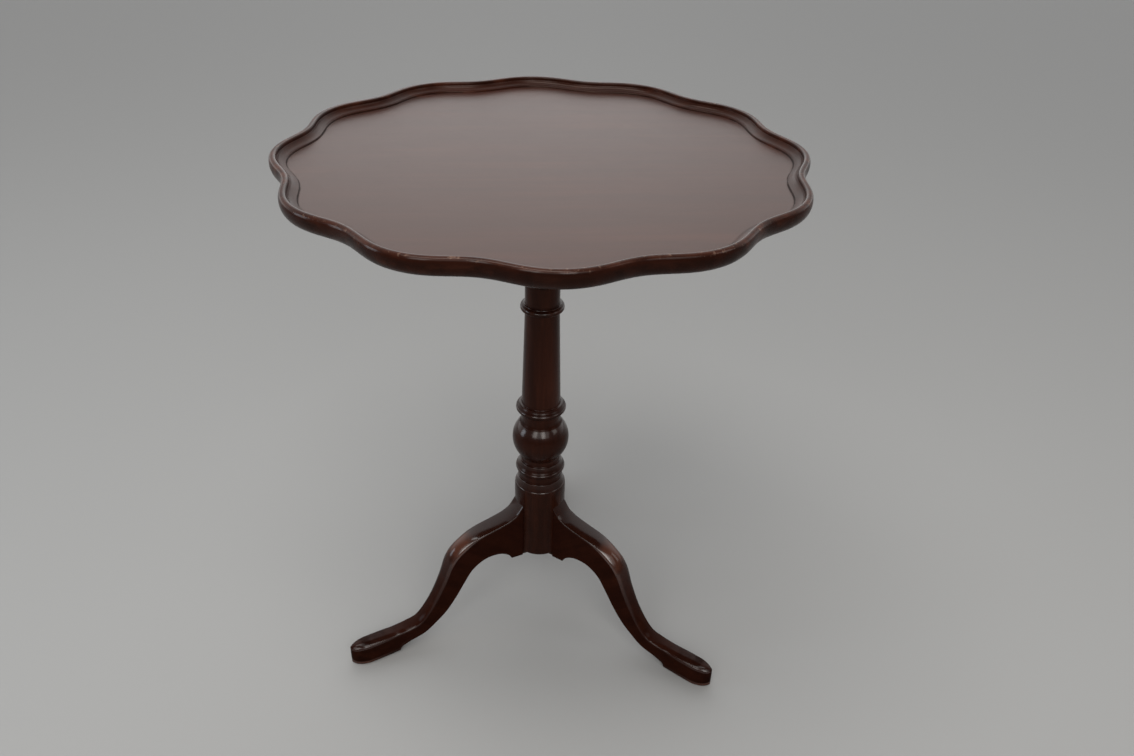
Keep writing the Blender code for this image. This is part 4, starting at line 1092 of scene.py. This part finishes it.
class WINETABLE_OT_add_legs(bpy.types.Operator):
    """Carve the three legs"""

    bl_idname = "wine_table.add_legs"
    bl_label = "Legs"

    def execute(self, context):
        settings = context.scene.wine_table
        shoulder = settings.column.flat + SEAT_GAP
        rings = [leg_section(settings.leg, rib) for rib in leg_ribs(settings.leg, shoulder)]
        wood = polished_wood("polished_leg", settings.finish, LEG_LOOK)
        lean = Matrix.Rotation(math.radians(GRAIN_LEAN), 3, "Y")
        for side, heading in LEG_HEADINGS.items():
            work = bmesh.new()
            loft(work, rings, leg_finish(settings.leg, rings))
            bmesh.ops.remove_doubles(work, verts=work.verts, dist=WELD)
            turn = Matrix.Rotation(math.radians(heading), 4, "Z")
            bmesh.ops.transform(work, matrix=turn, verts=work.verts)
            mesh = as_mesh(work, side + "_leg")
            shift = lean @ turn.to_3x3().inverted()
            nodes = ["leg_" + side]
            add_piece(side + "_leg", mesh, "pedestal", nodes, [wood], LEG_CREASE, shift)
        return {"FINISHED"}


class WINETABLE_OT_add_underside(bpy.types.Operator):
    """Make the block on the column and the bearers under the top"""

    bl_idname = "wine_table.add_underside"
    bl_label = "Block and bearers"

    def execute(self, context):
        finish = context.scene.wine_table.finish
        across = plain_wood("block_wood", finish, BLOCK_GRAIN)
        lengthways = plain_wood("bearer_wood", finish, BEARER_GRAIN)
        mesh = eased_copy("pivot_block", WOOD_EASE)
        add_piece("tilting_block", mesh, "pedestal", ["pivot_block"], [across])
        for side in ("left", "right"):
            mesh = eased_copy("bearer_" + side, WOOD_EASE)
            add_piece(side + "_bearer", mesh, "top", ["bearer_" + side], [lengthways])
        return {"FINISHED"}


def slotted_screw(gauge, deep):
    """A countersunk screw with a slotted head at height 0, pointing down."""
    head, shank = gauge
    rim = -2 * SCREW_DOME
    profile = [(0.0, 0.0), (head * 0.6, 0.0), (head - SCREW_DOME, -SCREW_DOME), (head, rim)]
    profile += [(shank, shank - head + rim), (shank, 2 * shank - deep), (0.0, -deep)]
    work = bmesh.new()
    lathe(work, [(*point, 0.0, 0.0) for point in profile], SCREW_STEPS)
    slot = box_mesh((-head * 2, -head * 0.13, -head * 0.28), (head * 2, head * 0.13, head))
    return carved(as_mesh(work, "screw"), [slot])


def add_screws(name, family, gauge, count, body, turn, metal):
    """Like screws in one piece, each where its CAD node is."""
    work = bmesh.new()
    nodes = [f"{family}_{number}" for number in range(1, count + 1)]
    for number, node in enumerate(nodes):
        low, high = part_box(node)
        axis = turn @ Vector((0.0, 0.0, 1.0))
        middle = (low + high) / 2
        reach = abs((high - low).dot(axis))
        place = Matrix.Translation(middle + axis * reach / 2) @ turn.to_4x4()
        place = place @ Matrix.Rotation(math.radians(SLOT_TURN + NEXT_SLOT_TURN * number), 4, "Z")
        mesh = slotted_screw(gauge, reach)
        mesh.transform(place)
        work.from_mesh(mesh)
    add_piece(name, as_mesh(work, name), body, nodes, [metal])


class WINETABLE_OT_add_fittings(bpy.types.Operator):
    """Make the table bolt, its keeper, the pins, the plate and all the screws"""

    bl_idname = "wine_table.add_fittings"
    bl_label = "Fittings"

    def execute(self, context):
        finish = context.scene.wine_table.finish
        brass = worn_metal("handled_brass", finish.brass, finish.tarnish, polish=0.24, spread=0.16)
        iron = worn_metal("blackened_iron", finish.iron, finish.rust, polish=0.42, spread=0.20)
        metals = {"brass": brass, "iron": iron}
        for name, node, ease, body, slot in FITTINGS:
            add_piece(name, eased_copy(node, ease), body, [node], [metals[slot]])

        low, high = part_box("catch_knob")
        radius = (high.x - low.x) / 2
        middle = low.z + radius
        neck = middle + radius * 0.95
        profile = [
            (0.0, high.z),
            (KNOB_STEM, high.z),
            (KNOB_STEM, neck + 16 * HAIR),
            (KNOB_COLLAR, neck + 13 * HAIR),
            (KNOB_COLLAR, neck + 4 * HAIR),
            (KNOB_STEM + 3 * HAIR, neck),
        ]
        profile += arc((0.0, middle), (radius, radius), 62, -88, 22) + [(0.0, low.z)]
        work = bmesh.new()
        lathe(work, [(*point, 0.0, 0.0) for point in profile], KNOB_STEPS)
        bmesh.ops.translate(work, vec=(0.0, (low.y + high.y) / 2, 0.0), verts=work.verts)
        mesh = as_mesh(work, "turned_knob")
        add_piece("turned_knob", mesh, "bolt", ["catch_knob"], [brass])

        up = Matrix.Rotation(math.pi, 3, "X")
        inward = Matrix.Rotation(math.radians(-90), 3, "X")
        add_screws("bearer_screws", "bearer_screw", LARGE_SCREW, 8, "top", up, iron)
        add_screws("case_screws", "catch_screw", SMALL_SCREW, 4, "top", up, brass)
        add_screws("keeper_screws", "strike_screw", SMALL_SCREW, 2, "pedestal", inward, brass)
        add_screws("tie_plate_screws", "plate_screw", LARGE_SCREW, 3, "pedestal", up, iron)
        return {"FINISHED"}


def aim(place, target):
    """A turn that points -Z from a place at a target."""
    return (Vector(target) - Vector(place)).to_track_quat("-Z", "Y").to_euler()


class WINETABLE_OT_add_stage(bpy.types.Operator):
    """Make the floor, the soft light and the camera"""

    bl_idname = "wine_table.add_stage"
    bl_label = "Stage"

    def execute(self, context):
        scene = context.scene
        settings = scene.wine_table.stage
        scene.view_settings.view_transform = "Standard"

        work = bmesh.new()
        bmesh.ops.create_grid(work, x_segments=1, y_segments=1, size=FLOOR_REACH)
        bmesh.ops.translate(work, vec=(0, 0, -FLOOR_DROP), verts=work.verts)
        mesh = as_mesh(work, "floor")
        paint = {"Base Color": opaque(settings.floor), "Roughness": FLOOR_ROUGHNESS}
        mesh.materials.append(new_material("floor_paint", paint)[0])
        floor = bpy.data.objects.new("floor", mesh)
        scene.collection.objects.link(floor)

        world = bpy.data.worlds.new("studio")
        world.use_nodes = True
        scene.world = world
        wire = Wire(world.node_tree)
        background = world.node_tree.nodes["Background"]
        toward = wire.node("ShaderNodeTexCoord", {}, {}, "Generated")
        depth = wire.node("ShaderNodeSeparateXYZ", {}, {0: toward}, "Y")
        across = wire.node("ShaderNodeSeparateXYZ", {}, {0: toward}, "X")
        seen = wire.node("ShaderNodeLightPath", {}, {}, "Is Camera Ray")
        side = (across * across).between(*SIDE_SPAN)
        glow = WORLD_FRONT + depth.between(*BEHIND_SPAN) * WORLD_BEHIND * (1.0 - side * SIDE_LOSS)
        strength = glow + seen * (WORLD_SEEN - glow)
        world.node_tree.links.new(strength.socket, background.inputs["Strength"])
        background.inputs["Color"].default_value = opaque((1.0, 1.0, 1.0))

        for lamp in LAMPS:
            light = bpy.data.lights.new(lamp.name, "AREA")
            light.shape = "RECTANGLE"
            light.size, light.size_y = lamp.size
            light.energy = lamp.power
            light.color = lamp.tint
            holder = bpy.data.objects.new(lamp.name, light)
            holder.location = LAMP_TARGET + Vector(lamp.way).normalized() * lamp.distance
            holder.rotation_euler = aim(holder.location, LAMP_TARGET)
            scene.collection.objects.link(holder)

        view = bpy.data.cameras.new("camera")
        view.lens = settings.lens
        view.sensor_width = SENSOR_WIDTH
        camera = bpy.data.objects.new("camera", view)
        turn = (
            Matrix.Rotation(-settings.yaw, 4, "Z")
            @ Matrix.Rotation(math.pi / 2 - settings.pitch, 4, "X")
            @ Matrix.Rotation(settings.roll, 4, "Z")
        )
        camera.matrix_world = Matrix.Translation(settings.camera) @ turn
        scene.collection.objects.link(camera)
        scene.camera = camera
        return {"FINISHED"}


OPERATORS = (
    WINETABLE_OT_add_top,
    WINETABLE_OT_add_column,
    WINETABLE_OT_add_legs,
    WINETABLE_OT_add_underside,
    WINETABLE_OT_add_fittings,
    WINETABLE_OT_add_stage,
)


class WINETABLE_PT_panel(bpy.types.Panel):
    """Lists the pieces and their sizes"""

    bl_label = "Wine Table"
    bl_idname = "WINETABLE_PT_panel"
    bl_space_type = "VIEW_3D"
    bl_region_type = "UI"
    bl_category = "Wine Table"

    def draw(self, context):
        for operator in OPERATORS:
            self.layout.operator(operator.bl_idname)
        settings = context.scene.wine_table
        for group in (settings.top, settings.column, settings.leg, settings.finish, settings.stage):
            box = self.layout.box()
            for name in group.__annotations__:
                box.prop(group, name)


GROUPS = (TopSizes, ColumnSizes, LegSizes, Finishes, StageSettings, WineTableSettings)
CLASSES = GROUPS + OPERATORS + (WINETABLE_PT_panel,)


def register():
    """Add the classes and the settings to Blender."""
    for item in CLASSES:
        bpy.utils.register_class(item)
    bpy.types.Scene.wine_table = PointerProperty(type=WineTableSettings)


def unregister():
    """Take the settings and the classes out again."""
    del bpy.types.Scene.wine_table
    for item in reversed(CLASSES):
        bpy.utils.unregister_class(item)


def main():
    """Build every piece and the stage."""
    register()
    bpy.ops.wine_table.add_top()
    bpy.ops.wine_table.add_column()
    bpy.ops.wine_table.add_legs()
    bpy.ops.wine_table.add_underside()
    bpy.ops.wine_table.add_fittings()
    bpy.ops.wine_table.add_stage()
    bpy.context.view_layer.update()


if __name__ == "__main__":
    main()
